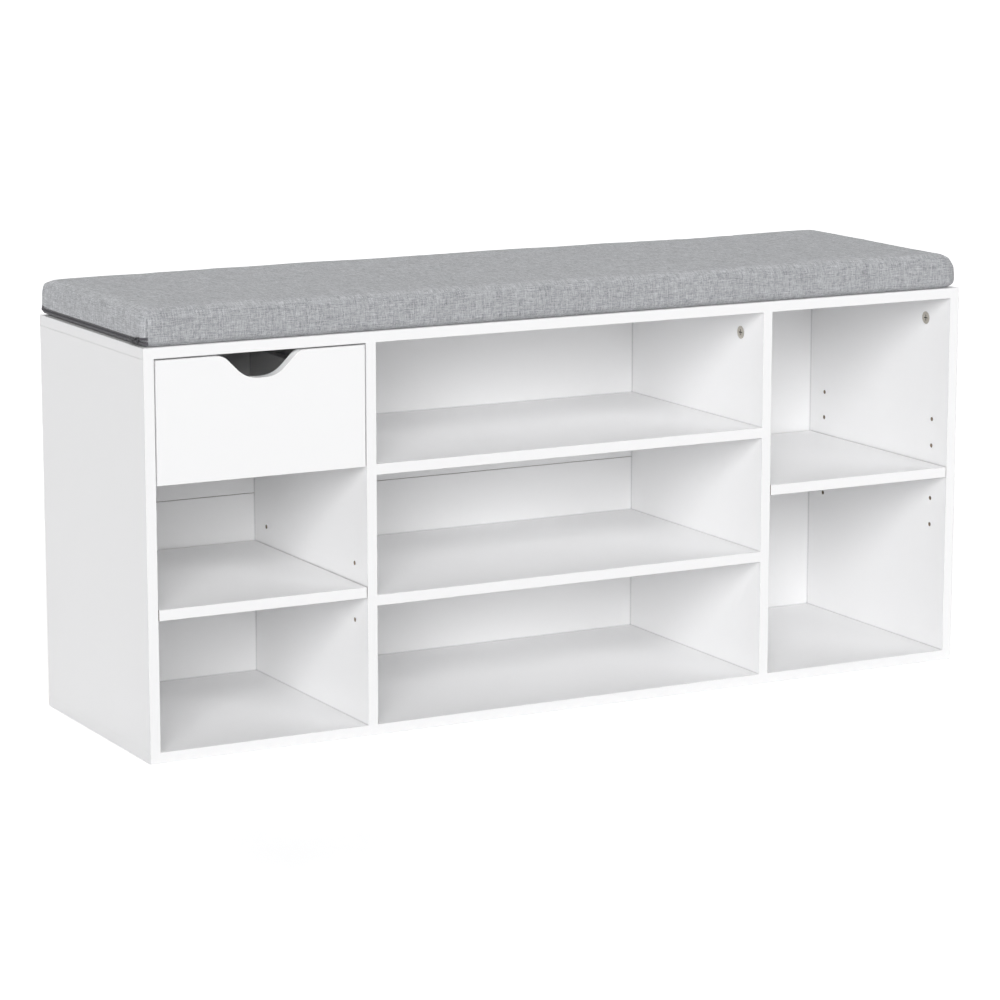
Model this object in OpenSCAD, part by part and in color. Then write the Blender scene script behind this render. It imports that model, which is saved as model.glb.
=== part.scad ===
// Entryway bench: white board cabinet with three columns, one drawer, two loose shelves and a cushion.
// Frame: X to the right, Y to the back, Z up. The origin is the middle of the base on the floor.

/* [Cabinet] */
// Overall width of the cabinet
cabinet_w = 1040; // [1000:10:1100]
// Overall depth, front edges to the rear of the back panel
cabinet_d = 300; // [296:1:340]
// Height of the cabinet without the cushion
cabinet_h = 450; // [446:1:480]
// Thickness of every board
board_t = 12; // [12:0.5:13]
// Clear width of the left and right columns
column_w = 248; // [240:1:260]
// Thickness of the band on the visible edges
band_t = 0.5; // [0.4:0.1:1]
// Thickness of the hardboard back
back_t = 2.7; // [2.5:0.1:3]

/* [Shelves] */
// Height of the underside of the loose shelf in the left column
left_shelf_z = 156; // [130:1:180]
// Height of the underside of the loose shelf in the right column
right_shelf_z = 223.5; // [200:0.5:250]
// Distance between shelf-pin holes
pin_pitch = 32; // [25:1:32]
// Diameter of a shelf-pin hole
pin_hole_d = 5; // [5:0.5:6]
// Gap between a loose shelf and each wall
shelf_gap = 1; // [0.5:0.5:2]

/* [Drawer] */
// Height of the drawer front
drawer_front_h = 133.9; // [130:0.1:136]
// Gap at each side of the drawer front
drawer_gap = 1.6; // [1:0.1:2]
// Length of the drawer sides and of the slides
drawer_length = 250; // [240:5:250]
// Height of the drawer sides
drawer_side_h = 90; // [80:1:92]
// Clearance on each side that the slides fill
slide_gap = 12.5; // [12.5:0.1:13]
// Depth of the finger scoop
scoop_depth = 26.5; // [25:0.5:29]

/* [Cushion] */
// Length of the cushion
cushion_w = 1042; // [1030:1:1046]
// Depth of the cushion
cushion_d = 302; // [296:1:306]
// Thickness of the cushion
cushion_t = 40; // [36:1:50]

/* [Hidden] */
$fn = 48;

// Main planes of the cabinet
half_w = cabinet_w / 2;
inner_x = half_w - board_t;
divider_out = inner_x - column_w;
divider_in = divider_out - board_t;
front_y = -cabinet_d / 2;
tape_t = 0.3;
rear_y = cabinet_d / 2 - back_t - tape_t;
board_y = front_y + band_t;
under_top = cabinet_h - board_t;
bay_h = (under_top - board_t - 2 * board_t) / 3;
shelf_low_z = board_t + bay_h;
shelf_high_z = shelf_low_z + board_t + bay_h;
back_y = cabinet_d / 2 - tape_t;
fold_z = cabinet_h / 2 - 1;

// Uprights from left to right: centre x, and the side their cam locks face
UPRIGHTS = [
  [-(inner_x + half_w) / 2, 1],
  [-(divider_in + divider_out) / 2, -1],
  [(divider_in + divider_out) / 2, -1],
  [(inner_x + half_w) / 2, -1]
];

// Knock-down fittings
cam_hole_r = 7.5;
cam_hole_h = 9.5;
cam_r = 7.4;
cam_h = 9.3;
cam_bolt_way = 12;
cam_reach = 29;
bolt_hole_r = 3.4;
bolt_r = 2.5;
bolt_head_r = 3.2;
bolt_head_h = 2.6;
bolt_neck_r = 1.6;
bolt_neck_h = 1.6;
bolt_collar_h = 1.5;
bolt_depth = 9;
thread_hole_r = 2.55;
dowel_r = 3;
dowel_hole_r = 3.05;
dowel_in_face = 8;
dowel_in_end = 16;
JOINT_Y = [front_y + 49.5, rear_y - 49.5];
DOWEL_Y = [front_y + 81.5, rear_y - 81.5];
cam_z = under_top - cam_reach;
screw_r = 2.5;
screw_hole_r = 2.6;
screw_reach = 34;
screw_head_r = 5;
screw_head_h = 3;
screw_sunk = 0.4;
slot_w = 1.2;

// Shelf pins
PIN_Y = [front_y + 32.5, rear_y - 32];
pin_rise = 1.25;
pin_hole_depth = 8;
pin_clear = 0.05;
spoon_reach = 9;
spoon_w = 7;
spoon_t = 2.2;
flange_r = 4.5;
flange_t = 1.2;
LEFT_PIN_Z = [for (k = [-1:1]) left_shelf_z + pin_rise + k * pin_pitch];
RIGHT_PIN_Z = [for (k = [-2:2]) right_shelf_z + pin_rise + k * pin_pitch];

// Back nails
nail_r = 0.7;
nail_length = 18;
nail_head_r = 2;
NAIL_X = [for (k = [-3:3]) k * 160];
NAIL_Z = [for (f = [0.25, 0.42, 0.75]) f * cabinet_h];

// Drawer
drawer_top = under_top - drawer_gap - 0.2;
drawer_front_z = drawer_top - drawer_front_h;
drawer_x0 = -inner_x + drawer_gap;
drawer_x1 = -divider_out - drawer_gap;
drawer_mid = (drawer_x0 + drawer_x1) / 2;
box_y0 = front_y + board_t;
box_y1 = box_y0 + drawer_length;
box_z0 = drawer_front_z + 9.7;
box_z1 = box_z0 + drawer_side_h;
box_x0 = -inner_x + slide_gap;
box_x1 = -divider_out - slide_gap;
groove_z = box_z0 + 6;
groove_h = 3.1;
groove_depth = 5;
drawer_bottom_t = 3;
drawer_cam_z = box_z0 + drawer_side_h / 2;
DRAWER_DOWEL_Z = [drawer_cam_z - 25, drawer_cam_z + 25];
BACK_SCREW_Z = [drawer_cam_z - 12, drawer_cam_z + 28];
wood_screw_r = 1.5;
wood_screw_hole_r = 1.55;
wood_screw_length = 35;

// Finger scoop: a flat floor, an arc up to a slope of 45 degrees and a rounded lip
scoop_floor = 4;
scoop_arc_r = 34;
scoop_lip_r = 18;
scoop_slope_sum = scoop_floor + scoop_depth - scoop_arc_r + scoop_arc_r * sqrt(2);
scoop_half = scoop_slope_sum + scoop_lip_r * (sqrt(2) - 1);

// Roller slides, measured from the wall they are screwed to
sheet_t = 1;
rail_z0 = box_z0;
rail_h = 22;
rail_reach = 10.5;
rail_lip_h = 3;
rail_lip_t = 0.8;
rail_setback = 2;
flange_z = rail_z0 + 18.5;
flange_start = 2.5;
roller_r = 8.4;
roller_z = rail_z0 + sheet_t + (flange_z - rail_z0 - sheet_t) / 2;
roller_hole_r = 2.05;
rivet_r = 2;
rivet_head_r = 3.6;
front_roller_y = box_y0 + 13;
rear_roller_y = box_y1 - 10;
front_roller_x = [1.6, 9];
rear_roller_x = [3.5, 9.4];
rivet_gap = 0.2;
rivet_head_h = 0.9;
flat_head_h = 0.7;
RAIL_SCREW_Y = [box_y0 + 42, box_y0 + 125, box_y1 - 22];
SIDE_SCREW_Y = [box_y0 + 40, box_y1 - 50];
rail_screw_depth = 9;
rail_screw_r = 1.5;
rail_screw_hole_r = 1.6;
pan_head_r = 3.2;
pan_head_h = 1.2;

// Cushion and its zip on the left end
cushion_z = cabinet_h;
cover_t = 1;
foam_gap = 0.5;
cushion_plan_r = 10;
cushion_top_r = 10;
cushion_bottom_r = 3;
zip_z0 = cushion_z + 3;
zip_tape_h = 3;
zip_teeth_h = 2;
zip_z1 = zip_z0 + 2 * zip_tape_h + zip_teeth_h;
zip_half = cushion_d / 2 - cushion_plan_r;
zip_face = -cushion_w / 2;
teeth_pitch = 4;
teeth_rise = 0.5;
zip_mid = (zip_z0 + zip_z1) / 2;

// Zip slider at the front end of the zip, and its pull lying back over the teeth
slider_l = 8;
slider_y0 = -zip_half + 1;
slider_rise = 2.4;
slider_t = 1.2;
slider_lip = 0.9;
slider_x = zip_face - slider_rise;
loop_z = 2.2;
loop_t = 1;
pull_pin_r = 0.6;
pull_hole_r = 0.66;
pull_barrel_r = 1.2;
pull_t = 1.2;
pull_neck_w = 3;
pull_blade_w = 5.2;
pull_blade_start = 5;
pull_length = 17;
pull_eye_r = 1.1;
pull_x = slider_x - pull_barrel_r - 0.2;
pull_y = slider_y0 + 3;

// A block between two corners
module block(low, high) {
  translate(low) cube(high - low);
}

// A rod along X, Y or Z that starts at a point and runs by a signed length
module rod_x(start, length, r) {
  translate([length < 0 ? start[0] + length : start[0], start[1], start[2]])
    rotate([0, 90, 0]) cylinder(h = abs(length), r = r);
}
module rod_y(start, length, r) {
  translate([start[0], length < 0 ? start[1] + length : start[1], start[2]])
    rotate([-90, 0, 0]) cylinder(h = abs(length), r = r);
}
module rod_z(start, length, r) {
  translate([start[0], start[1], length < 0 ? start[2] + length : start[2]])
    cylinder(h = abs(length), r = r);
}

// The cross slot of a driver, sunk into a face at z = 0 that looks to +Z
module cross_slot(length, depth) {
  for (turn = [0, 90]) rotate(turn)
    block([-length / 2, -slot_w / 2, -depth], [length / 2, slot_w / 2, 1]);
}

// A flat shape of X and Z carried along Y between two places
module along_y(y0, y1) {
  translate([0, y1, 0]) rotate([90, 0, 0]) linear_extrude(height = y1 - y0) children();
}

// A cam lock at the origin, open face towards +Z, with its bolt coming in along +X
module cam_lock() {
  difference() {
    translate([0, 0, -cam_h]) cylinder(h = cam_h, r = cam_r);
    rod_x([-1.5, 0, -board_t / 2], cam_bolt_way, bolt_hole_r + 0.2);
    cross_slot(7.2, 1.6);
  }
}

// A cam bolt: its collar sits on the face at the origin, its thread goes down to -Z, its head stands up
module cam_bolt() {
  head_z = cam_reach + 0.2 - bolt_head_h;
  neck_z = head_z - bolt_neck_h;
  rod_z([0, 0, -bolt_depth], bolt_depth + neck_z, bolt_r);
  rod_z([0, 0, 0], bolt_collar_h, bolt_head_r);
  rod_z([0, 0, neck_z], bolt_neck_h, bolt_neck_r);
  rod_z([0, 0, head_z], bolt_head_h, bolt_head_r);
}

// Places its child at each cam bolt under the top panel, pointing down
module at_top_bolts() {
  for (u = UPRIGHTS) for (y = JOINT_Y) translate([u[0], y, under_top]) rotate([180, 0, 0]) children();
}

// Places its child at each cam lock in the uprights, its face towards the side the upright names
module at_top_cams() {
  for (u = UPRIGHTS) for (y = JOINT_Y)
    translate([u[0] + u[1] * board_t / 2, y, cam_z])
      rotate([0, u[1] * 90, 0]) rotate([0, 0, u[1] > 0 ? 180 : 0]) children();
}

// Places its child at each end of the fixed shelves, on a divider's face, pointing to the middle
module at_shelf_bolts() {
  for (z = [shelf_low_z, shelf_high_z]) for (side = [-1, 1]) for (y = JOINT_Y)
    translate([side * divider_in, y, z + board_t / 2]) rotate([0, -side * 90, 0]) children();
}

// Places its child at each cam lock in the underside of the fixed shelves
module at_shelf_cams() {
  for (z = [shelf_low_z, shelf_high_z]) for (side = [-1, 1]) for (y = JOINT_Y)
    translate([side * (divider_in - cam_reach), y, z])
      rotate([180, 0, 0]) rotate([0, 0, side > 0 ? 0 : 180]) children();
}

// Holes that one upright needs for its top and bottom joints
module upright_joint_holes(u) {
  for (y = JOINT_Y) {
    rod_x([u[0] + u[1] * (board_t / 2 + 1), y, cam_z], -u[1] * (cam_hole_h + 1), cam_hole_r);
    rod_z([u[0], y, cam_z], cam_reach + 1, bolt_hole_r);
    rod_z([u[0], y, board_t - 1], screw_reach + 2, screw_hole_r);
  }
  for (y = DOWEL_Y) {
    rod_z([u[0], y, under_top - dowel_in_end - 0.5], dowel_in_end + 2, dowel_hole_r);
    rod_z([u[0], y, board_t - 1], dowel_in_end + 1.5, dowel_hole_r);
  }
}

// Rows of shelf-pin holes in the wall at x, drilled towards the given side
module pin_holes(wall_x, side, rows) {
  for (y = PIN_Y) for (z = rows) rod_x([wall_x - side, y, z], side * (pin_hole_depth + 1), pin_hole_d / 2);
}

// Pilot holes of a cabinet rail in the wall at x, drilled towards the given side
module rail_pilot_holes(wall_x, side) {
  for (y = RAIL_SCREW_Y)
    rod_x([wall_x - side, y, roller_z], side * (rail_screw_depth + 1.5), wood_screw_hole_r);
}

// Bolt and dowel holes of the fixed shelves in the face of a divider
module shelf_holes_in_divider(side) {
  for (z = [shelf_low_z, shelf_high_z]) {
    for (y = JOINT_Y)
      rod_x([side * (divider_in - 1), y, z + board_t / 2], side * (bolt_depth + 1.2), thread_hole_r);
    for (y = DOWEL_Y)
      rod_x([side * (divider_in - 1), y, z + board_t / 2], side * (dowel_in_face + 1.2), dowel_hole_r);
  }
}

module upright(u) {
  difference() {
    block([u[0] - board_t / 2, board_y, board_t], [u[0] + board_t / 2, rear_y, under_top]);
    upright_joint_holes(u);
    children();
  }
}

module bottom_panel() {
  color("whitesmoke") difference() {
    block([-half_w + band_t, board_y, 0], [half_w - band_t, rear_y, board_t]);
    for (u = UPRIGHTS) {
      for (y = JOINT_Y) {
        rod_z([u[0], y, -1], board_t + 2, screw_hole_r);
        rod_z([u[0], y, -1], screw_head_h + screw_sunk + 1.1, screw_head_r + 0.1);
      }
      for (y = DOWEL_Y) rod_z([u[0], y, board_t + 1], -(dowel_in_face + 1.2), dowel_hole_r);
    }
  }
}

module top_panel() {
  color("whitesmoke") difference() {
    block([-half_w + band_t, board_y, under_top], [half_w - band_t, rear_y, cabinet_h]);
    for (u = UPRIGHTS) {
      for (y = JOINT_Y) rod_z([u[0], y, under_top - 1], bolt_depth + 1.2, thread_hole_r);
      for (y = DOWEL_Y) rod_z([u[0], y, under_top - 1], dowel_in_face + 1.2, dowel_hole_r);
    }
  }
}

module left_side_panel() {
  color("whitesmoke") upright(UPRIGHTS[0]) {
    pin_holes(-inner_x, -1, LEFT_PIN_Z);
    rail_pilot_holes(-inner_x, -1);
  }
}

module right_side_panel() {
  color("whitesmoke") upright(UPRIGHTS[3]) pin_holes(inner_x, 1, RIGHT_PIN_Z);
}

module left_divider() {
  color("whitesmoke") upright(UPRIGHTS[1]) {
    pin_holes(-divider_out, 1, LEFT_PIN_Z);
    rail_pilot_holes(-divider_out, 1);
    shelf_holes_in_divider(-1);
  }
}

module right_divider() {
  color("whitesmoke") upright(UPRIGHTS[2]) {
    pin_holes(divider_out, -1, RIGHT_PIN_Z);
    shelf_holes_in_divider(1);
  }
}

// A fixed shelf between the dividers, its underside at z
module middle_shelf(z) {
  color("whitesmoke") difference() {
    block([-divider_in, board_y, z], [divider_in, rear_y, z + board_t]);
    for (side = [-1, 1]) {
      for (y = JOINT_Y) {
        rod_z([side * (divider_in - cam_reach), y, z - 1], cam_hole_h + 1, cam_hole_r);
        rod_x([side * (divider_in + 1), y, z + board_t / 2], -side * (cam_reach + 1), bolt_hole_r);
      }
      for (y = DOWEL_Y)
        rod_x([side * (divider_in + 1), y, z + board_t / 2], -side * (dowel_in_end + 1.5), dowel_hole_r);
    }
  }
}
module middle_shelf_lower() { middle_shelf(shelf_low_z); }
module middle_shelf_upper() { middle_shelf(shelf_high_z); }

module edge_bands() {
  color("white") {
    for (z = [0, under_top]) {
      block([-half_w, front_y, z], [half_w, board_y, z + board_t]);
      for (x = [-half_w, half_w - band_t])
        block([x, board_y, z], [x + band_t, rear_y, z + board_t]);
    }
    for (u = UPRIGHTS)
      block([u[0] - board_t / 2, front_y, board_t], [u[0] + board_t / 2, board_y, under_top]);
    for (z = [shelf_low_z, shelf_high_z])
      block([-divider_in, front_y, z], [divider_in, board_y, z + board_t]);
  }
}

// One leaf of the hardboard back
module back_leaf(z0, z1) {
  color("gainsboro") block([-half_w + 1, rear_y, z0], [half_w - 1, back_y, z1]);
}
module back_panel_lower() { back_leaf(1, fold_z - 0.4); }
module back_panel_upper() { back_leaf(fold_z + 0.4, cabinet_h - 1); }

module back_fold_tape() {
  color("white") block([-half_w + 1, back_y, fold_z - 15], [half_w - 1, back_y + tape_t, fold_z + 15]);
}

// A nail driven forwards through the hardboard at x and z
module nail(x, z) {
  rod_y([x, back_y, z], -nail_length, nail_r);
  rod_y([x, back_y - 0.3, z], 0.5, nail_head_r);
}

module back_nails() {
  color("silver") {
    for (x = NAIL_X) for (z = [board_t / 2, cabinet_h - board_t / 2]) nail(x, z);
    for (u = UPRIGHTS) for (z = NAIL_Z) nail(u[0], z);
  }
}

module top_cam_bolts() { color("silver") at_top_bolts() cam_bolt(); }
module top_cam_locks() { color("silver") at_top_cams() cam_lock(); }
module shelf_cam_bolts() { color("silver") at_shelf_bolts() cam_bolt(); }
module shelf_cam_locks() { color("silver") at_shelf_cams() cam_lock(); }

module top_dowels() {
  color("burlywood") for (u = UPRIGHTS) for (y = DOWEL_Y)
    rod_z([u[0], y, under_top - dowel_in_end], dowel_in_end + dowel_in_face, dowel_r);
}

module bottom_dowels() {
  color("burlywood") for (u = UPRIGHTS) for (y = DOWEL_Y)
    rod_z([u[0], y, board_t - dowel_in_face], dowel_in_end + dowel_in_face, dowel_r);
}

module shelf_dowels() {
  dowel_l = dowel_in_end + dowel_in_face;
  color("burlywood") for (z = [shelf_low_z, shelf_high_z]) for (side = [-1, 1]) for (y = DOWEL_Y)
    rod_x([side * (divider_in + dowel_in_face), y, z + board_t / 2], -side * dowel_l, dowel_r);
}

module base_screws() {
  color("silver") for (u = UPRIGHTS) for (y = JOINT_Y) difference() {
    union() {
      rod_z([u[0], y, screw_sunk], board_t + screw_reach - screw_sunk, screw_r);
      rod_z([u[0], y, screw_sunk], screw_head_h, screw_head_r);
    }
    translate([u[0], y, screw_sunk]) rotate([180, 0, 0]) cross_slot(6, 1.6);
  }
}

// A spoon pin in the wall at x: the peg goes into the wall, the spoon carries the shelf above it
module spoon_pin(wall_x, side, y, z, shelf_z) {
  rod_x([wall_x, y, z], side * (pin_hole_depth - 0.4), pin_hole_d / 2 - pin_clear);
  intersection() {
    rod_x([wall_x, y, z], -side * flange_t, flange_r);
    block([wall_x - 2, y - flange_r - 1, z - flange_r - 1], [wall_x + 2, y + flange_r + 1, shelf_z]);
  }
  tip_x = wall_x - side * spoon_reach;
  block([min(wall_x, tip_x), y - spoon_w / 2, shelf_z - spoon_t],
        [max(wall_x, tip_x), y + spoon_w / 2, shelf_z]);
}

module left_shelf_pins() {
  color("silver") for (y = PIN_Y) {
    spoon_pin(-inner_x, -1, y, LEFT_PIN_Z[1], left_shelf_z);
    spoon_pin(-divider_out, 1, y, LEFT_PIN_Z[1], left_shelf_z);
  }
}

module right_shelf_pins() {
  color("silver") for (y = PIN_Y) {
    spoon_pin(inner_x, 1, y, RIGHT_PIN_Z[2], right_shelf_z);
    spoon_pin(divider_out, -1, y, RIGHT_PIN_Z[2], right_shelf_z);
  }
}

// A loose shelf between two walls, its underside at z
module loose_shelf(x0, x1, z) {
  color("whitesmoke")
    block([x0 + shelf_gap, board_y, z], [x1 - shelf_gap, rear_y - 2, z + board_t]);
}
module loose_shelf_band(x0, x1, z) {
  color("white") block([x0 + shelf_gap, front_y, z], [x1 - shelf_gap, board_y, z + board_t]);
}
module left_shelf() { loose_shelf(-inner_x, -divider_out, left_shelf_z); }
module left_shelf_band() { loose_shelf_band(-inner_x, -divider_out, left_shelf_z); }
module right_shelf() { loose_shelf(divider_out, inner_x, right_shelf_z); }
module right_shelf_band() { loose_shelf_band(divider_out, inner_x, right_shelf_z); }

// Half outline of the scoop as points across and down from the top edge, from its floor to its lip
scoop_arc_z = scoop_depth - scoop_arc_r;
function scoop_side() = concat(
  [for (a = [0:4.5:45]) [scoop_floor + scoop_arc_r * sin(a), scoop_arc_z + scoop_arc_r * cos(a)]],
  [for (a = [45:-4.5:0]) [scoop_half - scoop_lip_r * sin(a), scoop_lip_r - scoop_lip_r * cos(a)]]
);

module scoop_shape() {
  half = scoop_side();
  n = len(half);
  right = [for (p = half) [p[0], -p[1]]];
  left = [for (k = [n - 1:-1:0]) [-half[k][0], -half[k][1]]];
  polygon(concat([[-scoop_half, 1]], left, right, [[scoop_half, 1]]));
}

module drawer_front() {
  color("white") difference() {
    block([drawer_x0, front_y, drawer_front_z], [drawer_x1, box_y0, drawer_top]);
    translate([drawer_mid, box_y0 + 1, drawer_top]) rotate([90, 0, 0])
      linear_extrude(height = board_t + 2) scoop_shape();
    block([box_x0 + board_t - groove_depth, box_y0 - groove_depth, groove_z],
          [box_x1 - board_t + groove_depth, box_y0 + 1, groove_z + groove_h]);
    for (x = [box_x0 + board_t / 2, box_x1 - board_t / 2]) {
      rod_y([x, box_y0 + 1, drawer_cam_z], -(bolt_depth + 1.2), thread_hole_r);
      for (z = DRAWER_DOWEL_Z) rod_y([x, box_y0 + 1, z], -(dowel_in_face + 1.2), dowel_hole_r);
    }
  }
}

// A drawer side with its outer face at x; side is +1 when that face looks to +X
module drawer_side(outer_x, side) {
  x_in = outer_x - side * board_t;
  x_mid = outer_x - side * board_t / 2;
  color("whitesmoke") difference() {
    block([min(outer_x, x_in), box_y0, box_z0], [max(outer_x, x_in), box_y1, box_z1]);
    block([min(x_in - side, x_in + side * groove_depth), box_y0 - 1, groove_z],
          [max(x_in - side, x_in + side * groove_depth), box_y1 + 1, groove_z + groove_h]);
    rod_x([x_in - side, box_y0 + cam_reach, drawer_cam_z], side * (cam_hole_h + 1), cam_hole_r);
    rod_y([x_mid, box_y0 - 1, drawer_cam_z], cam_reach + 1, bolt_hole_r);
    for (z = DRAWER_DOWEL_Z) rod_y([x_mid, box_y0 - 1, z], dowel_in_end + 1.5, dowel_hole_r);
    for (z = BACK_SCREW_Z) {
      rod_x([outer_x + side, box_y1 - board_t / 2, z], -side * (board_t + 2), wood_screw_hole_r);
      rod_x([outer_x + side, box_y1 - board_t / 2, z], -side * 3.2, pan_head_r + 0.1);
    }
    for (y = SIDE_SCREW_Y) rod_z([x_mid, y, box_z0 - 1], 5, rail_screw_hole_r);
  }
}
module drawer_side_left() { drawer_side(box_x0, -1); }
module drawer_side_right() { drawer_side(box_x1, 1); }

module drawer_back() {
  color("whitesmoke") difference() {
    block([box_x0 + board_t, box_y1 - board_t, groove_z + groove_h], [box_x1 - board_t, box_y1, box_z1]);
    hole_l = wood_screw_length - board_t + 3;
    for (end = [[box_x0 + board_t, 1], [box_x1 - board_t, -1]]) for (z = BACK_SCREW_Z)
      rod_x([end[0] - end[1], box_y1 - board_t / 2, z], end[1] * hole_l, wood_screw_hole_r);
  }
}

module drawer_bottom() {
  color("whitesmoke")
    block([box_x0 + board_t - groove_depth + 0.5, box_y0 - groove_depth + 0.5, groove_z],
          [box_x1 - board_t + groove_depth - 0.5, box_y1, groove_z + drawer_bottom_t]);
}

module drawer_cam_bolts() {
  color("silver") for (x = [box_x0 + board_t / 2, box_x1 - board_t / 2])
    translate([x, box_y0, drawer_cam_z]) rotate([-90, 0, 0]) cam_bolt();
}

module drawer_cam_locks() {
  color("silver") {
    translate([box_x0 + board_t, box_y0 + cam_reach, drawer_cam_z])
      rotate([0, 90, 0]) rotate([0, 0, -90]) cam_lock();
    translate([box_x1 - board_t, box_y0 + cam_reach, drawer_cam_z])
      rotate([0, -90, 0]) rotate([0, 0, -90]) cam_lock();
  }
}

module drawer_dowels() {
  color("burlywood") for (x = [box_x0 + board_t / 2, box_x1 - board_t / 2]) for (z = DRAWER_DOWEL_Z)
    rod_y([x, box_y0 - dowel_in_face, z], dowel_in_face + dowel_in_end, dowel_r);
}

module drawer_back_screws() {
  color("silver") for (end = [[box_x0, 1], [box_x1, -1]]) for (z = BACK_SCREW_Z) {
    rod_x([end[0] + end[1] * 0.5, box_y1 - board_t / 2, z], end[1] * wood_screw_length, wood_screw_r);
    rod_x([end[0] + end[1] * 0.5, box_y1 - board_t / 2, z], end[1] * pan_head_h, pan_head_r);
  }
}

// Cabinet half of a slide as a C-shaped channel; the wall is at x = 0 and the drawer lies towards +X
module cabinet_rail() {
  y0 = box_y0 + rail_setback;
  color("white") difference() {
    along_y(y0, y0 + drawer_length) {
      translate([0, rail_z0]) square([sheet_t, rail_h]);
      translate([0, rail_z0]) square([rail_reach, sheet_t]);
      translate([rail_reach - rail_lip_t, rail_z0]) square([rail_lip_t, rail_lip_h]);
      translate([0, rail_z0 + rail_h - sheet_t]) square([rail_reach, sheet_t]);
    }
    for (y = RAIL_SCREW_Y) rod_x([-1, y, roller_z], sheet_t + 2, rail_screw_hole_r);
    rod_x([-1, front_roller_y, roller_z], sheet_t + 2, rivet_r);
  }
}

// Drawer half of a slide, in the same place: a flange over the front roller and a foot under the side
module drawer_rail() {
  web_x = slide_gap - sheet_t;
  color("white") difference() {
    along_y(box_y0, box_y1) {
      translate([web_x, box_z0 - sheet_t]) square([sheet_t, flange_z + 2 * sheet_t - box_z0]);
      translate([flange_start, flange_z]) square([slide_gap - flange_start, sheet_t]);
      translate([web_x, box_z0 - sheet_t]) square([board_t + sheet_t, sheet_t]);
    }
    rod_x([web_x - 1, rear_roller_y, roller_z], sheet_t + 2, rivet_r);
    for (y = SIDE_SCREW_Y)
      rod_z([slide_gap + board_t / 2, y, box_z0 - sheet_t - 1], sheet_t + 2, rail_screw_hole_r);
  }
}

// A plastic roller on the X axis between two x values
module roller(x_range, y) {
  color("ivory") difference() {
    rod_x([x_range[0], y, roller_z], x_range[1] - x_range[0], roller_r);
    rod_x([x_range[0] - 1, y, roller_z], x_range[1] - x_range[0] + 2, roller_hole_r);
  }
}

// Puts a slide's piece on the left wall, or turned round on the divider
module on_left_wall() { translate([-inner_x, 0, 0]) children(); }
module on_divider_wall() { translate([-divider_out, 0, 0]) mirror([1, 0, 0]) children(); }

module cabinet_rail_left() { on_left_wall() cabinet_rail(); }
module cabinet_rail_right() { on_divider_wall() cabinet_rail(); }
module drawer_rail_left() { on_left_wall() drawer_rail(); }
module drawer_rail_right() { on_divider_wall() drawer_rail(); }
module front_roller_left() { on_left_wall() roller(front_roller_x, front_roller_y); }
module front_roller_right() { on_divider_wall() roller(front_roller_x, front_roller_y); }
module rear_roller_left() { on_left_wall() roller(rear_roller_x, rear_roller_y); }
module rear_roller_right() { on_divider_wall() roller(rear_roller_x, rear_roller_y); }

module cabinet_rail_screw_set() {
  for (y = RAIL_SCREW_Y) {
    rod_x([-rail_screw_depth, y, roller_z], rail_screw_depth + sheet_t + 0.5, rail_screw_r);
    rod_x([sheet_t, y, roller_z], pan_head_h, pan_head_r);
  }
}
module cabinet_rail_screws() {
  color("silver") {
    on_left_wall() cabinet_rail_screw_set();
    on_divider_wall() cabinet_rail_screw_set();
  }
}

// Front axle: riveted in the cabinet rail, with its head outside the roller
module cabinet_rivet() {
  head_x = front_roller_x[1] + rivet_gap;
  rod_x([0, front_roller_y, roller_z], head_x + rivet_head_h, rivet_r);
  rod_x([head_x, front_roller_y, roller_z], rivet_head_h, rivet_head_r);
  rod_x([sheet_t, front_roller_y, roller_z], front_roller_x[0] - sheet_t - rivet_gap, rivet_head_r);
}
module cabinet_roller_rivets() {
  color("silver") {
    on_left_wall() cabinet_rivet();
    on_divider_wall() cabinet_rivet();
  }
}

// Rear axle: riveted in the drawer rail, with its head on the side of the wall
module drawer_rivet() {
  head_x = rear_roller_x[0] - rivet_gap - flat_head_h;
  shoulder_x = rear_roller_x[1] + rivet_gap;
  rod_x([head_x, rear_roller_y, roller_z], slide_gap - head_x, rivet_r);
  rod_x([head_x, rear_roller_y, roller_z], flat_head_h, rivet_head_r);
  rod_x([shoulder_x, rear_roller_y, roller_z], slide_gap - sheet_t - shoulder_x, rivet_head_r);
}
module drawer_roller_rivets() {
  color("silver") {
    on_left_wall() drawer_rivet();
    on_divider_wall() drawer_rivet();
  }
}

module drawer_rail_screw_set() {
  for (y = SIDE_SCREW_Y) {
    rod_z([slide_gap + board_t / 2, y, box_z0 - sheet_t - 0.5], sheet_t + 4, rail_screw_r);
    rod_z([slide_gap + board_t / 2, y, box_z0 - sheet_t - pan_head_h], pan_head_h, pan_head_r);
  }
}
module drawer_rail_screws() {
  color("silver") {
    on_left_wall() drawer_rail_screw_set();
    on_divider_wall() drawer_rail_screw_set();
  }
}

// A rectangle about the origin with rounded corners
module rounded_rect(w, h, r) {
  square([w - 2 * r, h], center = true);
  square([w, h - 2 * r], center = true);
  for (sx = [-1, 1]) for (sy = [-1, 1]) translate([sx * (w / 2 - r), sy * (h / 2 - r)]) circle(r);
}

// A side view standing on the x axis, with its own radius at the top and at the bottom
module pad_profile(w, h, r_top, r_bottom) {
  intersection() {
    translate([0, h / 2 - 20]) rounded_rect(w, h + 40, r_top);
    translate([0, h / 2 + 20]) rounded_rect(w, h + 40, r_bottom);
  }
}

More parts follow.
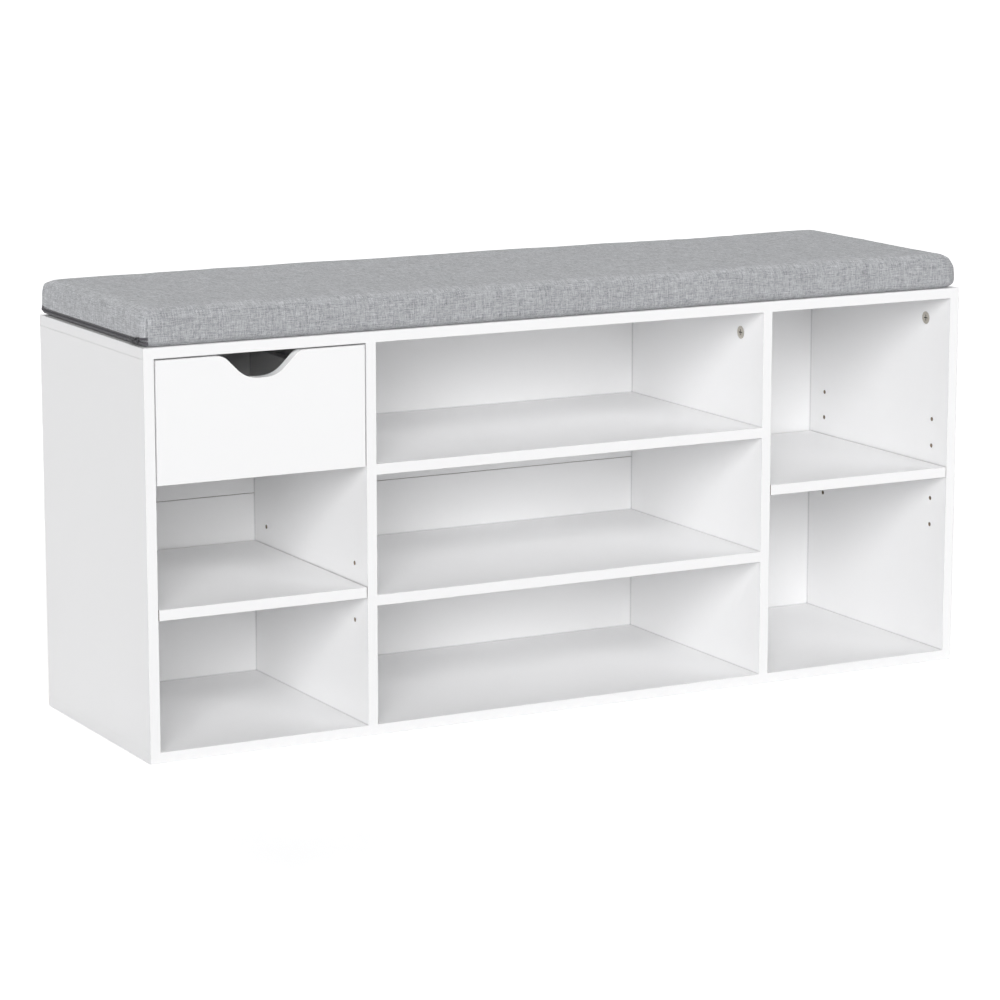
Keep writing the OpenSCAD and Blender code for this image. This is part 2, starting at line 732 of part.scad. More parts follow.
// A boxed pad on the cabinet, made smaller all round by an inset
module pad(inset) {
  w = cushion_w - 2 * inset;
  d = cushion_d - 2 * inset;
  h = cushion_t - 2 * inset;
  r_plan = cushion_plan_r - inset;
  r_top = cushion_top_r - inset;
  r_bottom = max(cushion_bottom_r - inset, 1);
  translate([0, 0, cushion_z + inset]) intersection() {
    linear_extrude(height = h) rounded_rect(w, d, r_plan);
    along_y(-d / 2, d / 2) pad_profile(w, h, r_top, r_bottom);
    rotate(90) along_y(-w / 2, w / 2) pad_profile(d, h, r_top, r_bottom);
  }
}

module cushion_cover() {
  color("darkgray") difference() {
    pad(0);
    pad(cover_t);
    block([zip_face - 1, -zip_half, zip_z0], [zip_face + cover_t + 1, zip_half, zip_z1]);
  }
}

module cushion_foam() {
  color("lightyellow") pad(cover_t + foam_gap);
}

module zip_tapes() {
  color("dimgray") for (z = [zip_z0, zip_z1 - zip_tape_h])
    block([zip_face + 0.2, -zip_half, z], [zip_face + cover_t, zip_half, z + zip_tape_h]);
}

module zip_teeth() {
  color("black") {
    block([zip_face, -zip_half, zip_z0 + zip_tape_h],
          [zip_face + cover_t, zip_half, zip_z1 - zip_tape_h]);
    for (y = [-zip_half + teeth_pitch:teeth_pitch:zip_half - teeth_pitch])
      block([zip_face - teeth_rise, y - teeth_pitch / 4, zip_z0 + zip_tape_h],
            [zip_face, y + teeth_pitch / 4, zip_z1 - zip_tape_h]);
  }
}

// A plate over the teeth, a lip behind each of its long edges, and a loop that holds the pull
module zip_slider() {
  slider_y1 = slider_y0 + slider_l;
  color("dimgray") {
    block([slider_x, slider_y0, zip_z0], [slider_x + slider_t, slider_y1, zip_z1]);
    for (z = [zip_z0, zip_z1 - slider_lip])
      block([slider_x + slider_t, slider_y0, z], [zip_face - 0.2, slider_y1, z + slider_lip]);
    for (side = [-1, 1])
      block([pull_x - 1, pull_y - 1.2, zip_mid + side * loop_z - loop_t / 2],
            [slider_x, pull_y + 1.2, zip_mid + side * loop_z + loop_t / 2]);
    rod_z([pull_x, pull_y, zip_mid - loop_z], 2 * loop_z, pull_pin_r);
  }
}

// A flat tab: a narrow neck from the barrel, a wider blade and an eye near its end
module zip_pull() {
  color("dimgray") difference() {
    union() {
      rod_z([pull_x, pull_y, zip_mid - pull_neck_w / 2], pull_neck_w, pull_barrel_r);
      block([pull_x - pull_t / 2, pull_y, zip_mid - pull_neck_w / 2],
            [pull_x + pull_t / 2, pull_y + pull_length - 1, zip_mid + pull_neck_w / 2]);
      block([pull_x - pull_t / 2, pull_y + pull_blade_start, zip_mid - pull_blade_w / 2],
            [pull_x + pull_t / 2, pull_y + pull_length, zip_mid + pull_blade_w / 2]);
    }
    rod_z([pull_x, pull_y, zip_mid - pull_neck_w], 2 * pull_neck_w, pull_hole_r);
    rod_x([pull_x - pull_t, pull_y + pull_length - 3, zip_mid], 2 * pull_t, pull_eye_r);
  }
}

bottom_panel();
top_panel();
left_side_panel();
right_side_panel();
left_divider();
right_divider();
middle_shelf_lower();
middle_shelf_upper();
edge_bands();
back_panel_lower();
back_panel_upper();
back_fold_tape();
back_nails();
top_cam_bolts();
top_cam_locks();
shelf_cam_bolts();
shelf_cam_locks();
top_dowels();
shelf_dowels();
bottom_dowels();
base_screws();
left_shelf_pins();
right_shelf_pins();
cabinet_rail_left();
cabinet_rail_right();
cabinet_rail_screws();
cabinet_roller_rivets();
left_shelf();
left_shelf_band();
right_shelf();
right_shelf_band();
drawer_front();
drawer_side_left();
drawer_side_right();
drawer_back();
drawer_bottom();
drawer_cam_bolts();
drawer_cam_locks();
drawer_dowels();
drawer_back_screws();
drawer_rail_left();
drawer_rail_right();
drawer_rail_screws();
drawer_roller_rivets();
front_roller_left();
front_roller_right();
rear_roller_left();
rear_roller_right();
cushion_cover();
cushion_foam();
zip_tapes();
zip_teeth();
zip_slider();
zip_pull();
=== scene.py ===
"""Entryway bench: finishes for its boards and fittings, and its cushion, zip, floor, light and camera."""

import math

import bpy
import numpy as np
from bpy.props import FloatProperty, FloatVectorProperty, IntProperty, PointerProperty
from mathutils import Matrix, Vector
from mathutils.bvhtree import BVHTree


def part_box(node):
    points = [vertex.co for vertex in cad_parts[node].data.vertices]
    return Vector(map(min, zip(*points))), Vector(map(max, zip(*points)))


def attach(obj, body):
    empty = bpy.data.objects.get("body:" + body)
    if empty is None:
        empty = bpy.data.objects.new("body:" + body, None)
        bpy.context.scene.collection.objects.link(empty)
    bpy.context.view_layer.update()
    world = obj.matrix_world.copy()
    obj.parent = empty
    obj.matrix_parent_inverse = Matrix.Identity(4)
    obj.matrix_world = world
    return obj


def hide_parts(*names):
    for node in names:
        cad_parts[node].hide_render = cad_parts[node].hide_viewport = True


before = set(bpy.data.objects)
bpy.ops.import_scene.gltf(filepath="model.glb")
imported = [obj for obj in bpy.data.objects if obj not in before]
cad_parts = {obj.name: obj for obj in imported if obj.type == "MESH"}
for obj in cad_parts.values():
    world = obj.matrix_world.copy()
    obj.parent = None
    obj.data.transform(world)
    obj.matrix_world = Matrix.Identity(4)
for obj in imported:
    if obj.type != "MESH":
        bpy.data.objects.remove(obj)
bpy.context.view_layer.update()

bl_info = {
    "name": "Entryway bench",
    "version": (1, 0, 0),
    "blender": (4, 5, 0),
    "location": "3D View > Sidebar > Bench",
    "description": "Dresses a white storage bench and makes its linen cushion",
    "category": "Add Mesh",
}

MM = 0.001

# Places that come from the frame
PAD_LOW, PAD_HIGH = (np.array(corner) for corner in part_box("cushion_cover"))
SEAT_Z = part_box("top_panel")[1].z
ZIP_LOW, ZIP_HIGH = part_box("zip_tapes")
TEETH_LOW, TEETH_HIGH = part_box("zip_teeth")
BACK_FACE_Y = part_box("back_panel_upper")[1].y

# The cut of the cover: its clearance inside the CAD box, and its radii in plan, along its top and its base
PAD_MARGIN = 0.8 * MM
PAD_BASE_Z = SEAT_Z + 0.3 * MM
PLAN_RADIUS = 10 * MM
RIGHT_PLAN_RADIUS = 15 * MM
TOP_RADIUS = 9 * MM
RIGHT_TOP_RADIUS = 21 * MM
BASE_RADIUS = 4 * MM
LEFT_BASE_RADIUS = 8 * MM
RIGHT_BASE_RADIUS = 9 * MM

# How many points the cut cover has round its plan
PLAN_COLUMNS = 128

# The swell and the waves of the cover set in above the first height, over the second and the third
SWELL_START, SWELL_RISE, WAVE_RISE = 9 * MM, 16 * MM, 12 * MM

# Radii of the seams. Both ends of the zip are turns from +X in degrees, and the front one ends at a seam.
SEAM_RADIUS, BASE_SEAM_RADIUS, HEM_RADIUS = 0.55 * MM, 0.8 * MM, 0.6 * MM
FRONT_SEAM_TURN = 245
REAR_ZIP_TURN = 105

# The zip: how far its path lies inside the cover, its tooth loops' pitch and wire radius, its tape's ribs
ZIP_SINK = 1.1 * MM
TOOTH_PITCH, TOOTH_WIRE = 1.4 * MM, 0.36 * MM
RIB_PITCH = 1.6 * MM

# Painted shade in the joints between boards and in the castings' recesses: how wide the gaps are that count,
# and the colours of the painted shade
JOINT_SHADE_REACH, JOINT_SHADE_GREY = 2.2 * MM, (0.10, 0.10, 0.105)
RECESS_SHADE_REACH, RECESS_SHADE_BROWN = 2.5 * MM, (0.03, 0.028, 0.025)

# Lamps: degrees from the front towards +X, and degrees above the floor
LAMPS = {"key": (-30, 21), "side": (-45, 15), "fill": (20, 25), "rear": (160, 35)}
LAMP_SPREAD = 30
LAMP_DISTANCE = 5

# Boards by the axis of their thickness, and the other nodes by their finish
UPRIGHT_BOARDS = ["left_side_panel", "right_side_panel", "left_divider", "right_divider"]
DRAWER_SIDES = ["drawer_side_left", "drawer_side_right"]
LEVEL_BOARDS = [
    "bottom_panel", "top_panel", "middle_shelf_lower", "middle_shelf_upper", "left_shelf", "right_shelf",
]
FINISHES = {
    "band": ["edge_bands", "left_shelf_band", "right_shelf_band"],
    "lacquer": ["drawer_front"],
    "tape": ["back_fold_tape"],
    "hardboard": ["back_panel_lower", "back_panel_upper"],
    "tray": ["drawer_bottom"],
    "casting": ["top_cam_locks", "shelf_cam_locks", "drawer_cam_locks"],
    "plated": [
        "back_nails", "top_cam_bolts", "shelf_cam_bolts", "base_screws", "left_shelf_pins",
        "right_shelf_pins", "cabinet_rail_screws", "cabinet_roller_rivets", "drawer_cam_bolts",
        "drawer_back_screws", "drawer_rail_screws", "drawer_roller_rivets",
    ],
    "beech": ["top_dowels", "shelf_dowels", "bottom_dowels", "drawer_dowels"],
    "painted": ["cabinet_rail_left", "cabinet_rail_right", "drawer_rail_left", "drawer_rail_right"],
    "nylon": ["front_roller_left", "front_roller_right", "rear_roller_left", "rear_roller_right"],
}


# ---------------------------------------------------------------- settings

COLOUR = {"subtype": "COLOR", "size": 3, "min": 0, "max": 1}
LENGTH = {"subtype": "DISTANCE", "unit": "LENGTH"}


class BenchBoardSettings(bpy.types.PropertyGroup):
    """Colours of the boards and fittings."""

    white: FloatVectorProperty(
        name="Melamine white", description="Colour of the board faces", default=(0.93, 0.93, 0.935), **COLOUR)
    band_white: FloatVectorProperty(
        name="Band white", description="Colour of the edge bands", default=(0.93, 0.93, 0.935), **COLOUR)
    # Painted shade: band and lacquer are darkened where they face the front, to tone down the light on their
    # front faces
    painted_front_shade: FloatProperty(
        name="Front tone", description="Painted shade on band and lacquer where they face the front",
        min=0.3, max=1, default=0.77)
    chip: FloatVectorProperty(
        name="Chipboard", description="Colour of the raw core in holes and unbanded edges",
        default=(0.24, 0.19, 0.145), **COLOUR)
    fibre: FloatVectorProperty(
        name="Hardboard fibre", description="Colour of the raw rear of the back panel",
        default=(0.30, 0.19, 0.11), **COLOUR)
    # Painted shade: how dark the joints and inner corners between the boards are painted, in place of the
    # shade that falls in them
    joint_shade: FloatProperty(
        name="Painted joint shade", description="How dark the painted shade in the joints between the boards is",
        min=0, max=1, default=0.38)
    arris: FloatProperty(
        name="Softened edge", description="Width of the tiny bevel on the boards' edges",
        min=0, max=0.002, default=0.0004, **LENGTH)
    grain_size: FloatProperty(
        name="Grain size", description="Size of the pores pressed into the melamine",
        min=0.0002, max=0.01, default=0.0011, **LENGTH)


class BenchCushionSettings(bpy.types.PropertyGroup):
    """Size of the cushion's mesh and colours of its cloth."""

    voxel: FloatProperty(
        name="Cloth mesh size", description="Edge length of the mesh that is simulated",
        min=0.004, max=0.012, default=0.006, **LENGTH)
    crown: FloatProperty(
        name="Crown", description="How far the cover may swell from the cut shape",
        min=0, max=0.02, default=0.0015, **LENGTH)
    tuck: FloatProperty(
        name="Tuck", description="How far the cover may draw in, as a share of the crown",
        min=0, max=4, default=0.15)
    pressure: FloatProperty(
        name="Pressure", description="How hard the foam presses the cover outwards", min=0, max=20, default=4)
    steps: IntProperty(name="Steps", description="Frames of cloth simulation", min=2, max=60, default=20)
    yarn: FloatProperty(
        name="Yarn pitch", description="Distance between two yarns of the cover",
        min=0.0003, max=0.004, default=0.0009, **LENGTH)
    light_yarn: FloatVectorProperty(
        name="Light yarn", description="Colour of the palest yarns", default=(0.86, 0.87, 0.895), **COLOUR)
    dark_yarn: FloatVectorProperty(
        name="Dark yarn", description="Colour of the darkest yarns", default=(0.20, 0.21, 0.225), **COLOUR)
    # Painted shade: the cover is darkened where it faces the front, to tone down the light on its front; it
    # is the same cloth as its other panels
    painted_front_shade: FloatProperty(
        name="Front tone", description="Painted shade on the cover where it faces the front",
        min=0.3, max=1, default=0.66)
    zip_grey: FloatVectorProperty(
        name="Zip grey", description="Colour of the zip tape", default=(0.040, 0.038, 0.044), **COLOUR)


class BenchStageSettings(bpy.types.PropertyGroup):
    """Floor, light and camera."""

    floor_white: FloatVectorProperty(
        name="Floor", description="Colour of the floor", default=(0.93, 0.93, 0.935), **COLOUR)
    sky: FloatProperty(name="Room light", description="Strength of the even light", min=0, default=0.12)
    key: FloatProperty(name="Key light", description="Strength of the front left lamp", min=0, default=2.2)
    fill: FloatProperty(name="Fill light", description="Strength of the right lamp", min=0, default=0.97)
    side: FloatProperty(name="Side light", description="Strength of the left lamp", min=0, default=0.52)
    rear: FloatProperty(name="Rear light", description="Strength of the lamp behind", min=0, default=1.2)
    glow: FloatProperty(
        name="Floor glow", description="How much the floor is lifted towards white", min=0, default=0.45)
    lens: FloatProperty(
        name="Lens", description="Focal length of the camera in millimetres", min=10, default=130.4)
    yaw: FloatProperty(
        name="Turn", description="How far the camera looks to the right of +Y",
        subtype="ANGLE", default=math.radians(28.276))
    tilt: FloatProperty(
        name="Tilt", description="How far the camera looks down",
        subtype="ANGLE", default=math.radians(10.823))
    place: FloatVectorProperty(
        name="Place", description="Where the camera stands",
        subtype="XYZ", unit="LENGTH", size=3, default=(-1.9698, -3.6344, 1.0068))


# ---------------------------------------------------------------- mesh helpers

def mesh_from_arrays(name, points, faces):
    """A mesh from an (n, 3) array of points and a list of index arrays, each holding faces of one size."""
    mesh = bpy.data.meshes.new(name)
    mesh.from_pydata(points.tolist(), [], [row for block in faces for row in block.tolist()])
    mesh.validate()
    mesh.update()
    return mesh


def signed_volume(mesh):
    """A sixth of the sum of the triangles' triple products: above zero if the faces look out."""
    mesh.calc_loop_triangles()
    points = np.empty(len(mesh.vertices) * 3, np.float32)
    mesh.vertices.foreach_get("co", points)
    corners = np.empty(len(mesh.loop_triangles) * 3, np.int32)
    mesh.loop_triangles.foreach_get("vertices", corners)
    a, b, c = points.reshape(-1, 3).astype(float)[corners].reshape(-1, 3, 3).transpose(1, 0, 2)
    return float(np.einsum("ij,ij->i", a, np.cross(b, c)).sum() / 6)


def face_out(mesh):
    """Turns the faces of a closed mesh outwards."""
    if signed_volume(mesh) < 0:
        mesh.flip_normals()


def new_object(name, data):
    """An object in the scene, at the origin."""
    made = bpy.data.objects.new(name, data)
    bpy.context.scene.collection.objects.link(made)
    return made


def piece(name, mesh, material, body):
    """An object for a finished mesh, riding on a body and painted with one material."""
    face_out(mesh)
    mesh.polygons.foreach_set("use_smooth", np.full(len(mesh.polygons), True))
    mesh.materials.clear()
    mesh.materials.append(material)
    made = new_object(name, mesh)
    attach(made, body)
    return made


def ring_faces(rows, columns):
    """Quads between neighbouring rings of a grid whose rows close on themselves, and one cap at each end."""
    row = np.arange(rows - 1)[:, None] * columns
    here = np.arange(columns)[None]
    beside = (here + 1) % columns
    quads = np.stack([row + here, row + beside, row + columns + beside, row + columns + here], -1)
    return [quads.reshape(-1, 4), here[:, ::-1], here + (rows - 1) * columns]


def ring_mesh(name, rings):
    """A closed mesh from an array of rings."""
    return mesh_from_arrays(name, rings.reshape(-1, 3), ring_faces(*rings.shape[:2]))


def full_turn(count):
    """Count even angles once round, from 0."""
    return np.arange(count) / count * 2 * math.pi


def circle_outline(radius, count):
    """A round outline for a swept piece."""
    turn = full_turn(count)
    return radius * np.stack([np.cos(turn), np.sin(turn)], -1)


def blunt_outline(count, power):
    """An outline between a circle (power 1) and a square (power 0), one unit from the middle to each side."""
    turn = full_turn(count)
    return np.stack([np.sign(part) * np.abs(part) ** power for part in (np.cos(turn), np.sin(turn))], -1)


def unit_rows(vectors):
    """Each row of an array scaled to a length of 1."""
    return vectors / np.linalg.norm(vectors, axis=1, keepdims=True)


def lengths_along(points):
    """The distance from the first point to each point, along the points."""
    return np.concatenate([[0.0], np.cumsum(np.linalg.norm(np.diff(points, axis=0), axis=1))])


def columns_at(at, lengths, columns):
    """Each column of an array, read at the lengths given."""
    return np.stack([np.interp(at, lengths, columns[:, k]) for k in range(columns.shape[1])], -1)


def swept(path, outward, outline):
    """Carries a closed outline along a path. An outline point (p, q) lies p along the path's outward
    direction and q along the direction square to both the path and outward. Returns an array of rings."""
    along = unit_rows(np.gradient(path, axis=0))
    out = unit_rows(outward - np.einsum("ij,ij->i", outward, along)[:, None] * along)
    side = np.cross(along, out)
    return path[:, None] + outline[None, :, :1] * out[:, None] + outline[None, :, 1:] * side[:, None]


def put_length_uv(mesh, rings, path):
    """A UV map in metres on a swept mesh: U is the length along the path and V round the outline."""
    along, around = lengths_along(path)[:, None], lengths_along(rings[0])
    uv = np.stack(np.broadcast_arrays(along, around), -1).reshape(-1, 2)
    corner = np.empty(len(mesh.loops), np.int32)
    mesh.loops.foreach_get("vertex_index", corner)
    layer = mesh.uv_layers.new(name="cloth")
    layer.data.foreach_set("uv", uv[corner].astype(np.float32).ravel())


def evaluated_copy(made, name):
    """The mesh of an object with its modifiers applied."""
    graph = bpy.context.evaluated_depsgraph_get()
    mesh = bpy.data.meshes.new_from_object(made.evaluated_get(graph))
    mesh.name = name
    return mesh


def points_of(mesh):
    """The mesh's points as an (n, 3) array."""
    flat = np.empty(len(mesh.vertices) * 3, np.float32)
    mesh.vertices.foreach_get("co", flat)
    return flat.reshape(-1, 3).astype(float)


def set_points(mesh, points):
    """Writes an (n, 3) array of points back into a mesh."""
    mesh.vertices.foreach_set("co", points.astype(np.float32).ravel())
    mesh.update()


# ---------------------------------------------------------------- shader helpers

def feed(tree, socket, value):
    """Links another node's output to a socket, or sets the socket's own value."""
    if isinstance(value, bpy.types.NodeSocket):
        tree.links.new(value, socket)
    else:
        socket.default_value = value


def node(tree, kind, sockets=None, **settings):
    """A shader node with its settings. Each socket is fed an output or a value."""
    made = tree.nodes.new(kind)
    for key, value in settings.items():
        setattr(made, key, value)
    for key, value in (sockets or {}).items():
        feed(tree, made.inputs[key], value)
    return made


def math_node(tree, operation, *values, clamp=False):
    """A Math node. Each value is a number or another node's output."""
    made = node(tree, "ShaderNodeMath", dict(enumerate(values)), operation=operation, use_clamp=clamp)
    return made.outputs[0]


def weighted_sum(tree, first, first_share, second, second_share):
    """Two outputs added, each multiplied by its share."""
    return math_node(tree, "ADD", math_node(tree, "MULTIPLY", first, first_share),
                     math_node(tree, "MULTIPLY", second, second_share))


def mix_colour(tree, share, first, second, blend="MIX"):
    """A colour mix. Share is an output or a number, and each colour is an output or a tuple."""
    first, second = (colour if isinstance(colour, bpy.types.NodeSocket) else (*colour, 1)
                     for colour in (first, second))
    return node(tree, "ShaderNodeMix", {0: share, 6: first, 7: second}, data_type="RGBA",
                blend_type=blend).outputs[2]


def mix_value(tree, share, first, second):
    """A mix of two numbers or outputs."""
    return node(tree, "ShaderNodeMix", {0: share, 2: first, 3: second}, data_type="FLOAT").outputs[0]


def range_node(tree, value, low, high, to_low, to_high):
    """Carries value from the range low..high to the range to_low..to_high, with its ends held."""
    return node(tree, "ShaderNodeMapRange", {0: value, 1: low, 2: high, 3: to_low, 4: to_high}).outputs[0]


def split(tree, vector):
    """The X, Y and Z of a vector, as outputs."""
    return node(tree, "ShaderNodeSeparateXYZ", {0: vector}).outputs


def grey(tree, value):
    """A grey colour whose three channels are one value."""
    return node(tree, "ShaderNodeCombineColor", {0: value, 1: value, 2: value}).outputs[0]


VECTOR, NUMBER, COLOR = "NodeSocketVector", "NodeSocketFloat", "NodeSocketColor"


def new_group(name, inputs, outputs):
    """An empty shader node group. Inputs and outputs are (name, socket type) rows, some with a default."""
    group = bpy.data.node_groups.new(name, "ShaderNodeTree")
    for way, rows in (("INPUT", inputs), ("OUTPUT", outputs)):
        for label, kind, *default in rows:
            socket = group.interface.new_socket(name=label, in_out=way, socket_type=kind)
            if default:
                socket.default_value = default[0]
    return group, group.nodes.new("NodeGroupInput").outputs, group.nodes.new("NodeGroupOutput").inputs


GROUPS = {}


def put_group(tree, maker, vector, sockets=None):
    """Places the node group of a maker, which is made once, and feeds its Vector and its other inputs."""
    if maker not in GROUPS:
        GROUPS[maker] = maker()
    sockets = {"Vector": vector, **(sockets or {})}
    return node(tree, "ShaderNodeGroup", sockets, node_tree=GROUPS[maker]).outputs


def new_material(name, roughness, **sockets):
    """A material with one Principled BSDF. Returns the material, its tree, the shader and the coordinates."""
    material = bpy.data.materials.new(name)
    material.use_nodes = True
    tree = material.node_tree
    shader = tree.nodes["Principled BSDF"]
    shader.inputs["Roughness"].default_value = roughness
    for key, value in sockets.items():
        shader.inputs[key.replace("_", " ")].default_value = value
    return material, tree, shader, node(tree, "ShaderNodeTexCoord").outputs


def bump(tree, shader, height, distance, strength=1.0):
    """Feeds a height into the shader's normal through one Bump node."""
    made = node(tree, "ShaderNodeBump", {"Distance": distance, "Strength": strength, "Height": height})
    tree.links.new(made.outputs[0], shader.inputs["Normal"])


def noise(tree, vector, scale, detail=2.0, rough=0.5):
    """A noise texture's value. Scale is in features to the metre."""
    return node(tree, "ShaderNodeTexNoise",
                {"Vector": vector, "Scale": scale, "Detail": detail, "Roughness": rough}).outputs[0]


def stretched(tree, vector, scale):
    """The vector with each axis multiplied by its own factor."""
    return node(tree, "ShaderNodeMapping", {"Vector": vector, "Scale": scale}).outputs[0]


def toned(colour, factor):
    """A colour multiplied by a factor and held at 1."""
    return tuple(min(1.0, channel * factor) for channel in colour)


# ---------------------------------------------------------------- shared effects

def pressed_grain_group():
    """Fine pores pressed into a hard white surface, longer along one axis, and a faint cloudiness."""
    group, given, out = new_group(
        "Pressed grain",
        [("Vector", VECTOR), ("Along", VECTOR, (1, 1, 1))],
        [("Height", NUMBER), ("Tone", NUMBER)])
    scaled = node(group, "ShaderNodeVectorMath", {0: given["Vector"], 1: given["Along"]},
                  operation="MULTIPLY")
    pores = noise(group, scaled.outputs[0], 1.0, 3.0, 0.6)
    clouds = noise(group, given["Vector"], 5.0, 2.0)
    feed(group, out["Height"], pores)
    feed(group, out["Tone"], weighted_sum(group, pores, 0.5, clouds, 0.5))
    return group


def chip_core_group():
    """Pressed chips of wood: irregular cells, each with its own tone."""
    group, given, out = new_group(
        "Chip core",
        [("Vector", VECTOR), ("Chip", COLOR, (0.5, 0.4, 0.3, 1))],
        [("Color", COLOR), ("Height", NUMBER)])
    laid = stretched(group, given["Vector"], (1.0, 0.6, 1.6))
    cells = node(group, "ShaderNodeTexVoronoi", {"Vector": laid, "Scale": 700.0})
    tone = node(group, "ShaderNodeSeparateColor", {0: cells.outputs["Color"]}).outputs
    shade = grey(group, math_node(group, "MULTIPLY_ADD", tone[0], 0.7, 0.62))
    feed(group, out["Color"], mix_colour(group, 1.0, given["Chip"], shade, "MULTIPLY"))
    feed(group, out["Height"], tone[1])
    return group


def woven_cloth_group():
    """A plain weave on a plane in metres. Each yarn's height is half a sine across it, the yarn on top
    changes like a chessboard, and each yarn has its own tone that drifts along it in thick and thin slubs."""
    group, given, out = new_group(
        "Woven cloth",
        [("Vector", VECTOR), ("Yarns", NUMBER, 1000.0), ("Slub", NUMBER, 60.0)],
        [("Height", NUMBER), ("Tone", NUMBER)])
    axes = split(group, given["Vector"])
    counts, waves, tones = [], [], []
    for index in range(2):
        across = math_node(group, "MULTIPLY", axes[index], given["Yarns"])
        counts.append(math_node(group, "FLOOR", across))
        half_turn = math_node(group, "MULTIPLY", math_node(group, "FRACT", across), math.pi)
        waves.append(math_node(group, "SINE", half_turn))
    for index in range(2):
        yarn = math_node(group, "MULTIPLY", counts[index], 0.73)
        drift = math_node(group, "MULTIPLY", axes[1 - index], given["Slub"])
        place = node(group, "ShaderNodeCombineXYZ", {0: yarn, 1: drift, 2: 3.7 + 9.1 * index})
        tones.append(noise(group, place.outputs[0], 1.0, 2.0, 0.6))
    chess = math_node(group, "FLOORED_MODULO", math_node(group, "ADD", *counts), 2.0)
    feed(group, out["Height"], mix_value(group, chess, *waves))
    feed(group, out["Tone"], mix_value(group, chess, *tones))
    return group


def worn_metal_group():
    """Tumble marks on small metal parts: soft mottling and fine scratches."""
    group, given, out = new_group(
        "Worn metal", [("Vector", VECTOR)], [("Tone", NUMBER), ("Height", NUMBER)])
    mottle = noise(group, given["Vector"], 900.0, 3.0)
    scratch = noise(group, stretched(group, given["Vector"], (300.0, 4000.0, 1200.0)), 1.0, 2.0)
    feed(group, out["Tone"], math_node(group, "MULTIPLY", math_node(group, "ADD", mottle, scratch), 0.5))
    feed(group, out["Height"], scratch)
    return group


def panel_plane_group():
    """Lays a flat pattern on each side of a boxed shape, from the position and the axis that the surface
    faces most: X and Y on top and base, X and Z on front and back, Y and Z on the ends."""
    group, given, out = new_group(
        "Panel plane",
        [("Vector", VECTOR), ("Facing", VECTOR, (0, 0, 1))],
        [("Vector", VECTOR)])
    place, facing = split(group, given["Vector"]), split(group, given["Facing"])
    size = [math_node(group, "ABSOLUTE", facing[index]) for index in range(3)]
    end = math_node(group, "GREATER_THAN", size[0], math_node(group, "MAXIMUM", size[1], size[2]))
    level = math_node(group, "GREATER_THAN", size[2], math_node(group, "MAXIMUM", size[0], size[1]))
    across, up = mix_value(group, end, place[0], place[1]), mix_value(group, level, place[2], place[1])
    feed(group, out["Vector"], node(group, "ShaderNodeCombineXYZ", {0: across, 1: up}).outputs[0])
    return group


def painted_front_shade_group():
    """Painted shade: darkens a colour by a factor, by the share of the surface's normal that faces the front.
    """
    group, given, out = new_group(
        "Front tone",
        [("Vector", VECTOR), ("Color", COLOR, (1, 1, 1, 1)), ("Tone", NUMBER, 1.0)],
        [("Color", COLOR)])
    share = range_node(group, split(group, given["Vector"])[1], -0.15, -0.95, 0.0, 1.0)
    shade = grey(group, mix_value(group, share, 1.0, given["Tone"]))
    feed(group, out["Color"], mix_colour(group, 1.0, given["Color"], shade, "MULTIPLY"))
    return group


# ---------------------------------------------------------------- materials

def paint(tree, shader, colour, roughness=None):
    """Feeds a shader's colour and, where given, its roughness."""
    feed(tree, shader.inputs["Base Color"], colour)
    if roughness is not None:
        feed(tree, shader.inputs["Roughness"], roughness)


def with_painted_front_shade(tree, coords, colour, tone):
    """A colour darkened with painted shade where the surface faces the front."""
    return put_group(tree, painted_front_shade_group, coords["Normal"], {"Color": colour, "Tone": tone})["Color"]


def gap_shade_mask(tree, distance):
    """How enclosed a place is by what lies within a distance of it: 0 in the open, 1 deep in a gap. It is the
    mask of the painted shade in joints and recesses.
    """
    around = node(tree, "ShaderNodeAmbientOcclusion", {"Distance": distance}, samples=8)
    return range_node(tree, around.outputs["AO"], 0.40, 0.95, 1.0, 0.0)


def hard_white(tree, shader, coords, colour, along, depth, rough, joint_shade=0.0):
    """Gives a shader the pressed grain: roughness and bump, and returns its colour. Along is features to the
    metre by axis, and the last argument is how dark the painted shade in the joints between boards is."""
    grain = put_group(tree, pressed_grain_group, coords["Object"], {"Along": along})
    tone = mix_colour(tree, grain["Tone"], toned(colour, 0.975), colour)
    # Painted shade: joints and inner corners between boards are darkened by the gap mask
    if joint_shade:
        shade = math_node(tree, "MULTIPLY", gap_shade_mask(tree, JOINT_SHADE_REACH), joint_shade)
        tone = mix_colour(tree, shade, tone, JOINT_SHADE_GREY)
    paint(tree, shader, tone, range_node(tree, grain["Tone"], 0.3, 0.7, rough - 0.05, rough + 0.07))
    bump(tree, shader, grain["Height"], depth)
    return tone


def board_material(name, white_axes, grain_axis):
    """White melamine where the surface faces one of the given axes, and raw chipboard elsewhere."""
    look = bpy.context.scene.bench_boards
    material, tree, shader, coords = new_material(name, 0.4, Specular_IOR_Level=0.45)
    along = [1.0 / look.grain_size] * 3
    along[grain_axis] *= 0.06
    white = hard_white(tree, shader, coords, tuple(look.white), along, 0.02 * MM, 0.38, look.joint_shade)
    core = put_group(tree, chip_core_group, coords["Object"], {"Chip": (*look.chip, 1)})
    facing = split(tree, coords["Normal"])
    flat = math_node(tree, "ABSOLUTE", facing[white_axes[0]])
    for axis in white_axes[1:]:
        flat = math_node(tree, "MAXIMUM", flat, math_node(tree, "ABSOLUTE", facing[axis]))
    raw = math_node(tree, "LESS_THAN", flat, 0.3)
    paint(tree, shader, mix_colour(tree, raw, white, core["Color"]))
    return material


